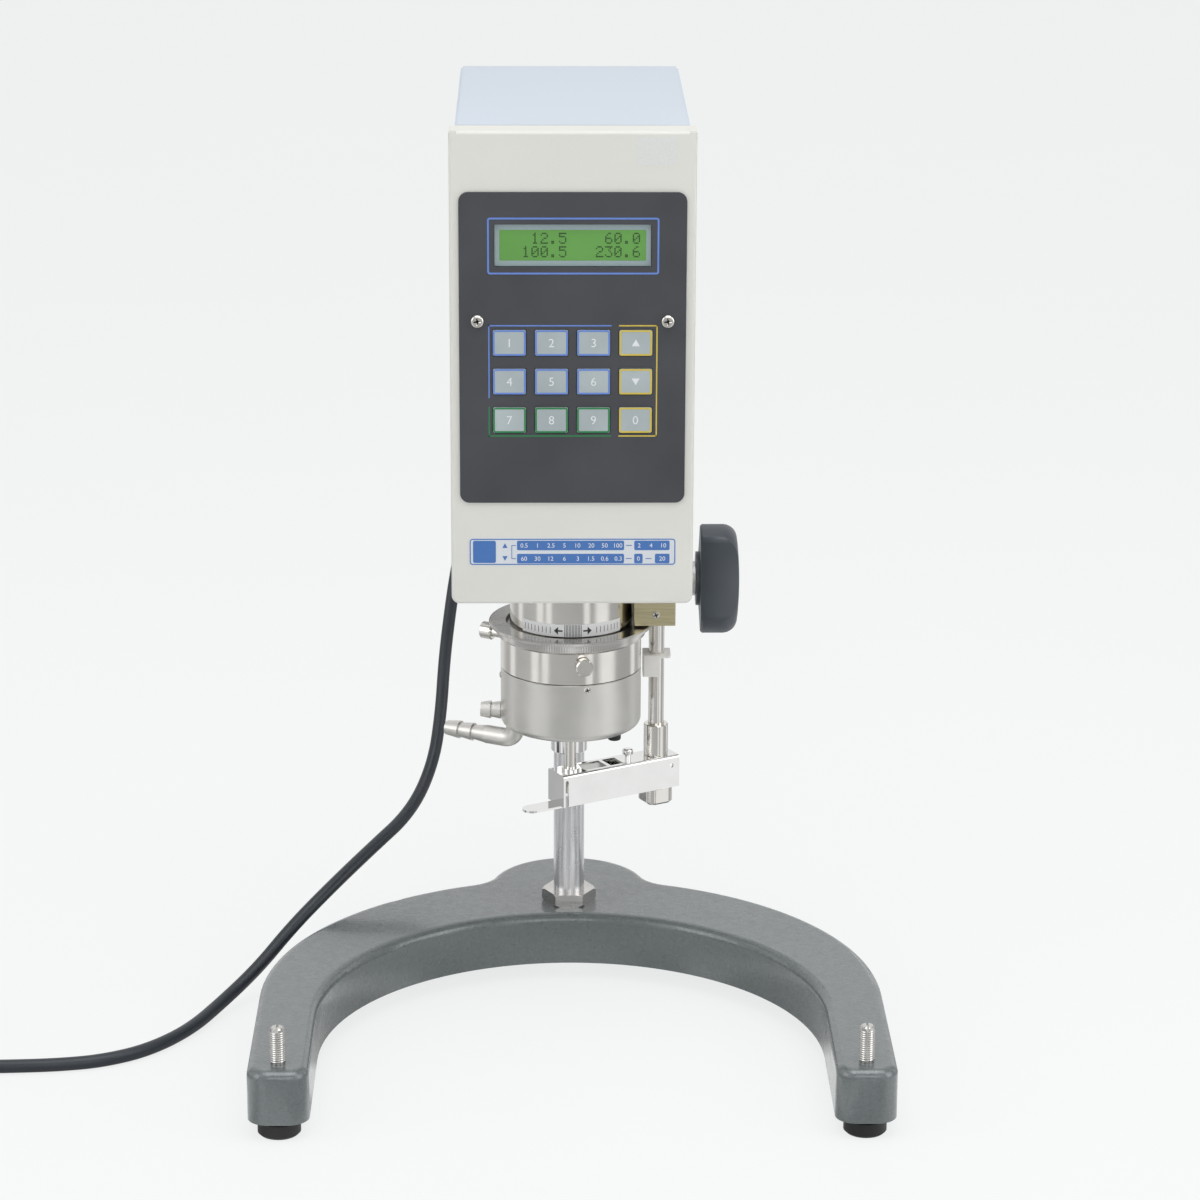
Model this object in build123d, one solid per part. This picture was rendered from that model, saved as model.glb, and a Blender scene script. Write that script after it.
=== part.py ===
from build123d import *
import math
import os

# Sizes are in millimetres. X is right, Y is away from the user and Z is up.
# The origin is on the table, under the middle of the base.

# Stand
base_width = 277.0
base_depth = 259.0
leg_width = 26.5
leg_corner = 9.0
outer_arc_back = 91.5  # from the legs' front ends to the centre of the outer arc
inner_arc_back = 68.5  # from the legs' front ends to the centre of the inner arc
tongue_radius = 37.5
tongue_blend = 18.0
casting_height = 24.0
casting_wall = 6.0
casting_roof = 7.0
casting_rounding = 4.0
foot_height = 8.0
foot_diameter = 18.6
foot_back = 11.3  # from a leg's front end to its levelling screw
rear_foot_inset = 20.0
screw_diameter = 6.0
screw_showing = 16.6
screw_slot_width = 1.0
screw_slot_depth = 1.5
boss_diameter = 16.0

# Column and its nuts
column_diameter = 14.3
column_top = 245.0
column_forward = 58.0  # from the back of the base to the column's axis
nut_flats = 22.0
nut_height = 6.0
column_boss_diameter = 34.0
column_boss_height = 14.0
column_tail = 8.0

# Rack and pinion
rack_module = 1.0
pinion_teeth = 16
rack_flat = 6.4  # from the column's axis to the tips of the rack
tooth_play = 0.12
pinion_drop = 32.0  # from the head's underside to the pinion's axis
pinion_width = 13.0
shaft_diameter = 8.0
journal_diameter = 20.0
lift_up = 45.0
lift_down = 60.0

# Head
head_bottom = 218.0
head_width = 102.5
head_height = 203.0
head_depth = 167.0
head_front_back = 69.5  # from the legs' front ends to the head's front face
pan_depth = 14.0
pan_skin = 1.6
pan_corner = 3.5
pan_edge = 1.4
cover_skin = 1.3
cover_inset = 0.7
cover_corner = 3.0
cover_edge = 1.2
plate_width = 94.6
plate_height = 132.8
plate_low = 45.0
plate_proud = 0.9
plate_back = 2.6
plate_corner = 4.0
plate_step = 3.0

# Display and keys
display_width = 65.3
display_height = 18.0
display_centre = 155.3
key_width = 13.8
key_height = 11.0
key_thickness = 1.5
key_corner = 0.8
key_pitch_x = 17.6
key_pitch_z = 16.6
key_columns = 4
key_rows = 3
key_top_centre = 114.2
key_proud = 0.3
key_gap = 0.3
key_travel = 0.4
panel_screw_diameter = 5.6
panel_screw_reach = 39.7
panel_screw_height = 123.5

# Measuring neck, ring and cup
neck_forward = 52.0  # from the head's front face to the measuring axis
neck_diameter = 53.7
neck_length = 38.0
neck_bore = 36.0
neck_flange = 66.0
flange_thickness = 4.0
ring_drop = 23.0
ring_flange_diameter = 71.7
ring_flange_thickness = 1.5
ring_flange_bore = 57.4
ring_band_diameter = 65.0
ring_band_height = 4.3
running_gap = 0.05
free_gap = 0.3
cup_diameter = 62.0
cup_ring_height = 14.5
cup_height = 26.6
cup_wall = 3.0
cup_floor = 4.0
cup_rounding = 3.5
plate_thickness = 8.0
well_diameter = 50.0
well_depth = 5.0
cone_diameter = 48.0
cone_angle = 1.57
cone_rim = 3.4
cone_gap = 0.7
cup_travel = 0.4
thumb_screw_diameter = 7.7

# Hose nozzles
nozzle_pipe = 8.2
nozzle_diameter = 8.0
nozzle_core = 6.4
nozzle_bore = 4.0
nozzle_bend = 5.2
nozzle_drop = 5.35  # from the cup's bottom to the lower nozzle's axis
nozzle_socket = 1.5
barbed_length = 20.0

# Clamp rod and arm
rod_across = 38.5  # from the measuring axis to the rod
rod_behind = 21.5
rod_diameter = 7.0
block_left = 27.4
block_width = 18.2
block_front_gap = 13.0  # how far the block's front lies before the measuring axis
block_depth = 42.0
block_height = 22.0
arm_drop = 93.0
arm_width = 14.0
arm_height = 14.8
arm_skin = 1.0
arm_before_pin = 7.5
arm_past_rod = 8.3
arm_slot = 1.6
tab_length = 16.5
tab_width = 8.6
bush_diameter = 11.0
bush_height = 14.7
rod_nut_size = 13.0
rod_nut_height = 7.4
pin_diameter = 5.0
pin_gap = 3.0
pin_travel = 3.0
pin_collar = 7.6

# Drive inside the head
chassis_thickness = 3.0
bridge_height = 32.0
bridge_thickness = 6.0
gear_module = 0.75
drive_teeth = 64
motor_teeth = 16
gear_spread = 0.25
gear_width = 5.0
spindle_diameter = 6.0
bearing_outer = 19.0
hub_diameter = 12.0
hub_bearing_outer = 24.0
bearing_width = 5.0
motor_size = 35.0
motor_height = 24.0

# Lift knob
knob_diameter = 52.6
knob_thickness = 18.4
knob_inner = 60.4  # from the middle plane to the knob's inner face
knob_hub_diameter = 25.0
knob_hub_length = 1.7
knob_lobes = 3
flute_radius = 96.0
flute_depth = 9.4
knob_dome = 170.0
knob_edge = 5.0
lobe_rounding = 3.0
shaft_in_knob = 12.0

# Rear of the head
bushing_across = -34.0
bushing_height = 22.0
bushing_length = 20.0
switch_across = 28.0
switch_height = 30.0
switch_width = 15.0
switch_tall = 21.0
rocker_swing = 17.0
rocker_radius = 7.7
rocker_pin = 2.4

# Mains cord, as points chosen along its route
cord_diameter = 6.0
coil_diameter = 66.0
coil_across = -314.0
coil_back = -16.0
coil_layers = 2
coil_abreast = 3
plug_length = 30.0
plug_width = 26.0
plug_neck = 13.0

# Places worked out from the sizes above
base_front = -base_depth / 2
base_back = base_depth / 2
casting_bottom = foot_height
casting_top = foot_height + casting_height
outer_centre = base_front + outer_arc_back
inner_centre = base_front + inner_arc_back
inner_radius = base_width / 2 - leg_width
tongue_centre = base_back - tongue_radius
foot_across = base_width / 2 - leg_width / 2
foot_y = base_front + foot_back
column_y = base_back - column_forward
pitch_radius = rack_module * pinion_teeth / 2
rack_pitch = math.pi * rack_module
pinion_y = column_y + rack_flat - rack_module + pitch_radius
pinion_z = head_bottom - pinion_drop
head_front = base_front + head_front_back
head_back = head_front + head_depth
head_top = head_bottom + head_height
cover_half = head_width / 2 - pan_skin - cover_inset
cover_top = head_top - pan_skin - cover_inset
plate_face = head_front - plate_proud
axis_y = head_front + neck_forward
neck_end = head_bottom - neck_length
ring_top = head_bottom - ring_drop
ring_bottom = ring_top - ring_flange_thickness - ring_band_height
cup_ring_top = ring_bottom - free_gap
cup_ring_bottom = cup_ring_top - cup_ring_height
cup_top = cup_ring_bottom - free_gap
cup_bottom = cup_top - cup_height
bore_in_cup = cup_diameter - 2 * cup_wall
well_rim = cup_top - 4.0
well_floor = well_rim - well_depth
rod_x = rod_across
rod_y = axis_y + rod_behind
block_front = axis_y - block_front_gap
arm_top = head_bottom - arm_drop
arm_bottom = arm_top - arm_height
arm_angle = math.degrees(math.atan2(rod_behind, rod_across))
arm_reach = math.hypot(rod_across, rod_behind)
plate_top = head_bottom + chassis_thickness
bridge_bottom = head_bottom + bridge_height
bridge_top = bridge_bottom + bridge_thickness
gear_distance = gear_module * (drive_teeth + motor_teeth) / 2 + gear_spread
motor_y = axis_y + gear_distance
gear_bottom = bridge_top + 5.0
gear_top = gear_bottom + gear_width


def block(x0, x1, y0, y1, z0, z1):
    return Pos((x0 + x1) / 2, (y0 + y1) / 2, (z0 + z1) / 2) * Box(x1 - x0, y1 - y0, z1 - z0)


def upright(diameter, z0, z1, x=0.0, y=0.0):
    return Pos(x, y, (z0 + z1) / 2) * Cylinder(diameter / 2, z1 - z0)


def across(diameter, x0, x1, y, z):
    return Pos((x0 + x1) / 2, y, z) * Rot(0, 90, 0) * Cylinder(diameter / 2, x1 - x0)


def lengthwise(diameter, y0, y1, x, z):
    return Pos(x, (y0 + y1) / 2, z) * Rot(90, 0, 0) * Cylinder(diameter / 2, y1 - y0)


def turned(profile, x=0.0, y=0.0):
    """A solid of revolution about an upright axis, from (radius, height) points."""
    outline = Polyline(*[(radius, 0, height) for radius, height in profile], close=True)
    return Pos(x, y, 0) * revolve(make_face(outline), Axis.Z)


def tube(outer, inner, z0, z1, x=0.0, y=0.0):
    return upright(outer, z0, z1, x, y) - upright(inner, z0 - 1, z1 + 1, x, y)


def rims(solid, radius):
    """The circular edges of one radius."""
    circles = solid.edges().filter_by(GeomType.CIRCLE)
    return circles.filter_by(lambda edge: abs(edge.radius - radius) < 0.01)


def upright_edges(solid):
    return solid.edges().filter_by(Axis.Z)


def hexagon(flats, z0, z1, x, y):
    """A hexagon bar with its corners turned off at both ends."""
    corner = flats / math.sqrt(3)
    bar = extrude(RegularPolygon(corner, 6), z1 - z0)
    turning = chamfer(Cylinder(corner, z1 - z0).edges().filter_by(GeomType.CIRCLE), 1.0)
    return Pos(x, y, z0) * (bar & Pos(0, 0, (z1 - z0) / 2) * turning)


def gear_outline(module_size, teeth, first_angle):
    """The outline of a spur gear with straight-sided teeth, one of them at first_angle."""
    pitch = module_size * teeth / 2
    root = pitch - 1.25 * module_size
    tip = pitch + 0.9 * module_size
    half = (math.pi * module_size / 4 - tooth_play) / pitch
    root_half = math.degrees(half * pitch / root + 0.42 * module_size / root)
    tip_half = math.degrees(half * pitch / tip - 0.36 * module_size / tip)
    points = []
    for tooth in range(teeth):
        middle = first_angle + 360 * tooth / teeth
        for radius, turn in ((root, -root_half), (tip, -tip_half), (tip, tip_half), (root, root_half)):
            angle = math.radians(middle + turn)
            points.append((radius * math.cos(angle), radius * math.sin(angle)))
    return points


def spur_gear(module_size, teeth, width, first_angle):
    return extrude(make_face(Polyline(*gear_outline(module_size, teeth, first_angle), close=True)), width)


# Stand


def base_prism(inset, z0, z1):
    """The base's outline as a prism, drawn in all round by the inset."""
    front = base_front + inset
    outer_radius = base_width / 2 - inset
    bay_radius = inner_radius + inset
    plan = Pos(0, (front + outer_centre) / 2) * Rectangle(2 * outer_radius, outer_centre - front)
    plan += Pos(0, outer_centre) * Circle(outer_radius)
    plan += Pos(0, tongue_centre) * Circle(tongue_radius - inset)
    plan -= Pos(0, front - base_depth / 2) * Rectangle(2 * base_width, base_depth)
    plan -= Pos(0, (front + inner_centre) / 2 - 1) * Rectangle(2 * bay_radius, inner_centre - front + 2)
    plan -= Pos(0, inner_centre) * Circle(bay_radius)
    prism = Pos(0, 0, z0) * extrude(plan, z1 - z0)
    waist = upright_edges(prism).filter_by(lambda edge: edge.center().Y > outer_centre + 20)
    prism = fillet(waist, tongue_blend + inset)
    corners = upright_edges(prism).filter_by(lambda edge: edge.center().Y < front + 0.01)
    return fillet(corners, leg_corner - inset)


def base_casting():
    roof = casting_top - casting_roof
    casting = base_prism(0.0, casting_bottom, casting_top)
    casting = fillet(casting.edges().group_by(Axis.Z)[-1], casting_rounding)
    casting -= base_prism(casting_wall, casting_bottom - 1, roof)
    for side in (-1, 1):
        casting += upright(boss_diameter, casting_bottom, roof + 1, side * foot_across, foot_y)
    casting += upright(boss_diameter, casting_bottom, roof + 1, 0, base_back - rear_foot_inset)
    boss_bottom = casting_top - column_boss_height
    casting += upright(column_boss_diameter, boss_bottom, roof + 1, 0, column_y)
    bore = screw_diameter + 4 * running_gap
    for side in (-1, 1):
        casting -= upright(bore, 0, casting_top + 1, side * foot_across, foot_y)
    casting -= upright(column_diameter + running_gap, 0, casting_top + 1, 0, column_y)
    rear_bolt = 5.0
    casting -= upright(rear_bolt, 0, roof - 2, 0, base_back - rear_foot_inset)
    return casting


def column():
    bottom = casting_top - column_boss_height - column_tail
    bar = upright(column_diameter, bottom, column_top, 0, column_y)
    bar = chamfer(rims(bar, column_diameter / 2), 0.8)
    tip = column_y + rack_flat
    root = tip - 2.25 * rack_module
    low = pinion_z - lift_down - 2 * rack_pitch
    high = column_top + 1
    bar -= block(-column_diameter, column_diameter, tip, tip + column_diameter, low, high)
    first = math.ceil((low - pinion_z) / rack_pitch + 0.6)
    last = math.floor((column_top - pinion_z) / rack_pitch - 0.6)
    slope = math.tan(math.radians(20))
    at_pitch = rack_pitch / 4 + tooth_play
    at_tip = at_pitch + slope * rack_module
    at_root = at_pitch - slope * 1.25 * rack_module
    space = make_face(Plane.YZ * Polyline((tip + 1, at_tip), (tip, at_tip), (root, at_root),
                                          (root, -at_root), (tip, -at_tip), (tip + 1, -at_tip),
                                          close=True))
    cutter = extrude(space, column_diameter / 2, both=True)
    for step in range(first, last + 1):
        bar -= Pos(0, 0, pinion_z + step * rack_pitch) * cutter
    return bar


def column_nuts():
    bore = column_diameter + running_gap
    upper = hexagon(nut_flats, casting_top, casting_top + nut_height, 0, column_y)
    boss_bottom = casting_top - column_boss_height
    lower = hexagon(nut_flats, boss_bottom - nut_height, boss_bottom, 0, column_y)
    nuts = []
    for nut in (upper, lower):
        nuts.append(nut - upright(bore, 0, column_top, 0, column_y))
    return Compound(nuts)


def rubber_foot(x, y):
    radius = foot_diameter / 2
    profile = [(0, 0), (radius - 1.0, 0), (radius, 1.0), (radius, foot_height - 1.6),
               (radius - 1.4, foot_height - free_gap), (0, foot_height - free_gap)]
    return turned(profile, x, y)


def rear_foot():
    y = base_back - rear_foot_inset
    foot = rubber_foot(0, y) + upright(foot_diameter - 3, foot_height - 1, foot_height, 0, y)
    return foot + upright(4.9, foot_height - 1, foot_height + 10, 0, y)


def levelling_screw(side):
    x = side * foot_across
    top = casting_top + screw_showing
    screw = upright(screw_diameter, foot_height / 2, top, x, foot_y)
    screw = chamfer(rims(screw, screw_diameter / 2), 0.6)
    reach = screw_diameter
    slot = block(x - screw_slot_width / 2, x + screw_slot_width / 2, foot_y - reach, foot_y + reach,
                 top - screw_slot_depth, top + 1)
    return screw - slot


def foot_pad(side):
    x = side * foot_across
    return rubber_foot(x, foot_y) - upright(screw_diameter, foot_height / 2, foot_height, x, foot_y)


# Lift


def elevator_block():
    half = 23.0
    front = column_y - 19.5
    back = pinion_y + journal_diameter / 2 + 4.5
    bottom = pinion_z - journal_diameter / 2 - 10.0
    body = block(-half, half, front, back, bottom, head_bottom)
    body = fillet(upright_edges(body), 3.0)
    boss_end = knob_inner - knob_hub_length - free_gap
    body += across(shaft_diameter + 8, half - 1, boss_end, pinion_y, pinion_z)
    body -= upright(column_diameter + 2 * running_gap, bottom - 1, head_bottom + 1, 0, column_y)
    seat = column_diameter + 2.7 + running_gap
    body -= upright(seat, bottom - 1, bottom + 8, 0, column_y)
    body -= across(journal_diameter, -half - 1, pinion_width / 2 + 0.5, pinion_y, pinion_z)
    body -= across(shaft_diameter + 2 * running_gap, 0, boss_end + 1, pinion_y, pinion_z)
    return body


def guide_tube():
    bottom = pinion_z - journal_diameter / 2 - 10.0
    sleeve = tube(column_diameter + 2.7, column_diameter + 2 * running_gap,
                  head_bottom - 111.0, bottom + 8, 0, column_y)
    return chamfer(sleeve.edges().group_by(Axis.Z)[0], 0.4)


def pinion_shaft():
    gear = Rot(0, 90, 0) * spur_gear(rack_module, pinion_teeth, pinion_width, 0)
    shaft = Pos(-pinion_width / 2, pinion_y, pinion_z) * turn_to_column(gear)
    journal = journal_diameter - 2 * running_gap
    shaft += across(journal, -23.0, -pinion_width / 2, pinion_y, pinion_z)
    shaft += across(shaft_diameter, -pinion_width / 2, knob_inner + shaft_in_knob, pinion_y, pinion_z)
    return shaft


def turn_to_column(gear):
    """Turn the gear about X so that one tooth points at the rack, towards -Y."""
    return Rot(90, 0, 0) * gear


def lift_knob():
    """A moulded knob: three lobes between hollow flanks, a domed face and a hub."""
    radius = knob_diameter / 2
    middle = Pos(0, 0, knob_thickness / 2)
    domed = middle * Cylinder(radius, knob_thickness)
    domed = fillet(domed.edges().group_by(Axis.Z)[-1], knob_edge)
    domed = chamfer(domed.edges().group_by(Axis.Z)[0], 1.0)
    domed &= Pos(0, 0, knob_thickness - knob_dome) * Sphere(knob_dome)
    lobed = middle * Cylinder(radius, knob_thickness)
    flute_axis = radius - flute_depth + flute_radius
    for lobe in range(knob_lobes):
        flank = Pos(flute_axis, 0, knob_thickness / 2) * Cylinder(flute_radius, knob_thickness + 2)
        lobed -= Rot(0, 0, 360 * lobe / knob_lobes) * flank
    lobed = fillet(upright_edges(lobed), lobe_rounding)
    body = domed & lobed
    body += Pos(0, 0, -knob_hub_length / 2) * Cylinder(knob_hub_diameter / 2, knob_hub_length)
    body -= Cylinder(shaft_diameter / 2, 2 * shaft_in_knob)
    return Pos(knob_inner, pinion_y, pinion_z) * Rot(0, 90, 0) * Rot(0, 0, -90) * body


# Head shells


def front_panel():
    half = head_width / 2
    pan = block(-half, half, head_front, head_front + pan_depth, head_bottom, head_top)
    pan = fillet(pan.edges().filter_by(Axis.Y), pan_corner)
    pan = fillet(pan.edges().group_by(Axis.Y)[0], pan_edge)
    inside = block(-half + pan_skin, half - pan_skin, head_front + pan_skin, head_front + pan_depth + 1,
                   head_bottom + pan_skin, head_top - pan_skin)
    pan -= fillet(inside.edges().filter_by(Axis.Y), pan_corner - pan_skin)
    pan -= plate_carrier(free_gap, 1.0)
    for side in (-1, 1):
        for z in (head_bottom + 30, head_bottom + 188):
            pan += lengthwise(7.0, head_front + pan_skin - 0.1, board_face(), side * 40.0, z)
    return pan


def board_face():
    """The front of the circuit board, behind the display module."""
    return head_front + pan_depth + 1.0


def rear_cover():
    front = head_front + pan_skin
    outside = block(-cover_half, cover_half, front, head_back, head_bottom, cover_top)
    outside = fillet(outside.edges().filter_by(Axis.Y).group_by(Axis.Z)[-1], cover_corner)
    outside = fillet(outside.edges().group_by(Axis.Y)[-1], cover_edge)
    inside = block(-cover_half + cover_skin, cover_half - cover_skin, front - 1, head_back - cover_skin,
                   head_bottom - 1, cover_top - cover_skin)
    inside = fillet(inside.edges().filter_by(Axis.Y).group_by(Axis.Z)[-1], cover_corner - cover_skin)
    cover = outside - inside
    lip_back = head_front + pan_depth + free_gap
    cover -= block(-head_width, head_width, front - 1, lip_back, head_bottom - 1,
                   head_bottom + pan_skin + cover_inset)
    cover -= lengthwise(12.0 + running_gap, head_back - 5, head_back + 5, bushing_across,
                        head_bottom + bushing_height)
    half_wide = switch_width / 2 - 1
    half_tall = switch_tall / 2 - 1
    switch_z = head_bottom + switch_height
    cover -= block(switch_across - half_wide, switch_across + half_wide, head_back - 5, head_back + 5,
                   switch_z - half_tall, switch_z + half_tall)
    return cover


def plate_carrier(gap, depth):
    """The stepped back of the front plate, which fills the opening in the front panel."""
    half = plate_width / 2 - plate_step + gap
    low = head_bottom + plate_low + plate_step - gap
    high = head_bottom + plate_low + plate_height - plate_step + gap
    carrier = block(-half, half, head_front - depth, head_front + plate_back + depth - 1, low, high)
    return fillet(carrier.edges().filter_by(Axis.Y), 2.0)


def key_places():
    """The middle of each key, row by row from the top left."""
    places = []
    for row in range(key_rows):
        for place in range(key_columns):
            x = (place - (key_columns - 1) / 2) * key_pitch_x
            places.append((x, head_bottom + key_top_centre - row * key_pitch_z))
    return places


def rounded_slab(width, height, corner, y0, y1, x, z):
    slab = block(x - width / 2, x + width / 2, y0, y1, z - height / 2, z + height / 2)
    return fillet(slab.edges().filter_by(Axis.Y), corner)


def front_plate():
    middle = head_bottom + plate_low + plate_height / 2
    plate = rounded_slab(plate_width, plate_height, plate_corner, plate_face, head_front, 0, middle)
    plate += plate_carrier(0.0, 0.1)
    plate &= block(-head_width, head_width, plate_face, head_front + plate_back, head_bottom, head_top)
    window_z = head_bottom + display_centre
    plate -= rounded_slab(display_width, display_height, 0.6, plate_face - 1, head_front + 9, 0, window_z)
    for x, z in key_places():
        plate -= rounded_slab(key_width + 2 * key_gap, key_height + 2 * key_gap, key_corner + key_gap,
                              plate_face - 1, plate_face - key_proud + key_thickness + key_travel + 0.1, x, z)
    return plate


def membrane_key(x, z):
    face = plate_face - key_proud
    key = rounded_slab(key_width, key_height, key_corner, face, face + key_thickness, x, z)
    return chamfer(key.edges().group_by(Axis.Y)[0], 0.12)


def panel_screws():
    screws = []
    for side in (-1, 1):
        head = Cylinder(panel_screw_diameter / 2, 2.0)
        head = fillet(head.edges().group_by(Axis.Z)[-1], 1.0)
        for turn in (0, 90):
            head -= Pos(0, 0, 0.6) * Rot(0, 0, turn) * Box(3.2, 0.8, 1.2)
        x = side * panel_screw_reach
        screws.append(Pos(x, plate_face - 1.0, head_bottom + panel_screw_height) * Rot(90, 0, 0) * head)
    return Compound(screws)


def display_module():
    z = head_bottom + display_centre
    glass_front = head_front + 0.6
    board_front = board_face() - 1.6
    frame = block(-36.0, 36.0, head_front + plate_back, board_front, z - 13.0, z + 13.0)
    frame += block(-display_width / 2 + 0.2, display_width / 2 - 0.2, glass_front,
                   head_front + plate_back + 1, z - display_height / 2 + 0.2, z + display_height / 2 - 0.2)
    board = block(-40.0, 40.0, board_front, board_face(), z - 18.0, z + 18.0)
    return frame + board


def circuit_board():
    """The main board behind the front panel, with its chips and plugs."""
    back = board_face() + 1.6
    board = block(-44.0, 44.0, board_face(), back, head_bottom + 24, head_bottom + 194)
    for row in range(3):
        z = head_bottom + 60 + row * 38
        board += block(-12.0, 8.0, back - 0.1, back + 3.0, z, z + 20)
        board += block(18.0, 36.0, back - 0.1, back + 2.2, z + 2, z + 16)
    for x in (-34.0, -22.0):
        board += upright_can(x, back, head_bottom + 160)
    board += block(-38.0, -20.0, back - 0.1, back + 9.0, bridge_top + 4, bridge_top + 12)
    return board


def upright_can(x, back, z):
    """A capacitor that stands on the back of the board."""
    return lengthwise(8.0, back - 0.1, back + 12.0, x, z)


def power_supply():
    """A transformer on its bracket, carried by the cover's back wall."""
    wall = head_back - cover_skin
    z = head_bottom + 128
    unit = block(-30.0, 30.0, wall - 2.0, wall, z - 22, z + 22)
    core = block(-22.0, 22.0, wall - 34.0, wall - 1.9, z - 19, z + 19)
    unit += fillet(core.edges().filter_by(Axis.Y), 1.5)
    coil = block(-13.0, 13.0, wall - 40.0, wall - 1.9, z - 12, z + 12)
    unit += fillet(coil.edges().filter_by(Axis.Y), 3.0)
    for side in (-1, 1):
        unit -= lengthwise(4.0, wall - 3, wall + 1, side * 26.0, z)
    return unit


def cord_bushing():
    """The strain relief, ringed with grooves, that the cord leaves the back of the head through."""
    z = head_bottom + bushing_height
    sleeve = lengthwise(12.0, head_back - 8, head_back + 0.5, bushing_across, z)
    sleeve += lengthwise(16.0, head_back, head_back + 2.5, bushing_across, z)
    taper = Pos(bushing_across, head_back + bushing_length / 2 + 1, z) * Rot(-90, 0, 0) * \
        Cone(5.6, cord_diameter / 2 + 1.0, bushing_length - 2)
    sleeve += taper
    for groove in range(3):
        y = head_back + 7 + 4 * groove
        ring = lengthwise(16.0, y, y + 1.4, bushing_across, z)
        ring -= lengthwise(cord_diameter + 2.6, y - 1, y + 3, bushing_across, z)
        sleeve -= ring
    return sleeve


def switch_frame():
    z = head_bottom + switch_height
    frame = rounded_slab(switch_width, switch_tall, 1.2, head_back, head_back + 1.6, switch_across, z)
    body = block(switch_across - switch_width / 2 + 1.1, switch_across + switch_width / 2 - 1.1,
                 head_back - 14, head_back + 0.5, z - switch_tall / 2 + 1.1, z + switch_tall / 2 - 1.1)
    frame += body
    pocket = block(switch_across - 5.0, switch_across + 5.0, head_back - 8, head_back + 3, z - 8.0, z + 8.0)
    frame -= pocket
    y, z = rocker_pivot()
    return frame - across(rocker_pin + 2 * running_gap, switch_across - 5.9, switch_across + 5.9, y, z)


def rocker_pivot():
    return head_back - 0.3, head_bottom + switch_height


def switch_rocker():
    """A round-bottomed rocker with a shallow V face, on a pin in the frame's side walls."""
    rise = rocker_radius * math.tan(math.radians(rocker_swing / 2))
    outline = Plane.YZ * Polyline((-4.5, -rocker_radius), (1.5 + rise, -rocker_radius), (1.5, 0),
                                  (1.5 + rise, rocker_radius), (-4.5, rocker_radius), close=True)
    body = extrude(make_face(outline), 4.7, both=True)
    body &= across(2 * rocker_radius, -5.0, 5.0, 0, 0)
    body += across(rocker_pin, -5.8, 5.8, 0, 0)
    y, z = rocker_pivot()
    return Pos(switch_across, y, z) * Rot(-rocker_swing / 2, 0, 0) * body


# Drive inside the head


def chassis():
    """The floor plate of the head, with the bridge that carries the drive on four posts."""
    side = cover_half - cover_skin - free_gap
    floor = block(-side, side, head_front + pan_depth + free_gap, head_back - cover_skin,
                  head_bottom, plate_top)
    floor -= upright(neck_diameter + running_gap, 0, plate_top + 1, 0, axis_y)
    floor -= upright(column_diameter + 3, 0, plate_top + 1, 0, column_y)
    bridge = block(-40.0, 40.0, axis_y - 34, motor_y + 24, bridge_bottom, bridge_top)
    bridge = fillet(upright_edges(bridge), 4.0)
    bridge -= upright(hub_bearing_outer + running_gap, bridge_bottom - 1, bridge_top + 1, 0, axis_y)
    bridge -= upright(14.0, bridge_bottom - 1, bridge_top + 1, 0, motor_y)
    frame = floor + bridge
    for x in (-36.0, 36.0):
        for y in (axis_y - 29, motor_y + 19):
            frame += upright(7.0, plate_top - 0.1, bridge_bottom + 0.1, x, y)
    return frame


def motor():
    top = bridge_bottom
    body = block(-motor_size / 2, motor_size / 2, motor_y - motor_size / 2, motor_y + motor_size / 2,
                 top - motor_height, top)
    body = chamfer(upright_edges(body), 3.0)
    body += upright(13.8, top - 1, top + 2, 0, motor_y)
    body += upright(5.0, top, gear_bottom - 1.0, 0, motor_y)
    return body


def motor_pinion():
    gear = spur_gear(gear_module, motor_teeth, gear_width + 2, 90)
    return Pos(0, motor_y, gear_bottom - 1.0) * gear


def drive_gear():
    """The gear on its hollow hub, with the slotted upper disc and the spring's outer post."""
    gear = Pos(0, axis_y, gear_bottom) * spur_gear(gear_module, drive_teeth, gear_width,
                                                   90 + 180 / drive_teeth)
    gear += upright(hub_diameter, bridge_bottom, gear_top + 9, 0, axis_y)
    gear += upright(hub_diameter + 5, bridge_top + 0.5, gear_bottom + 0.1, 0, axis_y)
    disc = upright(40.0, gear_top + 8, gear_top + 9, 0, axis_y)
    for slit in range(18):
        disc -= Pos(0, axis_y, gear_top + 8.5) * Rot(0, 0, 20 * slit) * Pos(17.5, 0, 0) * Box(3.0, 1.2, 3)
    gear += disc
    post_x = 18.5
    gear += upright(2.4, gear_top + 8.9, gear_top + 15, post_x, axis_y)
    return gear - upright(spindle_diameter + 2 * free_gap, 0, gear_top + 20, 0, axis_y)


def spindle_bearings():
    """Two ball bearings: one in the neck for the spindle, one in the bridge for the hub."""
    lower_top = plate_top + flange_thickness - 2
    lower = tube(bearing_outer, spindle_diameter + 2 * running_gap, lower_top - bearing_width, lower_top,
                 0, axis_y)
    upper = tube(hub_bearing_outer, hub_diameter + 2 * running_gap, bridge_top - bearing_width,
                 bridge_top, 0, axis_y)
    groove_low = tube(bearing_outer - 4, spindle_diameter + 5, lower_top - 0.6, lower_top + 1, 0, axis_y)
    groove_high = tube(hub_bearing_outer - 4, hub_diameter + 5, bridge_top - 0.6, bridge_top + 1, 0, axis_y)
    return Compound([lower - groove_low, upper - groove_high])


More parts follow.
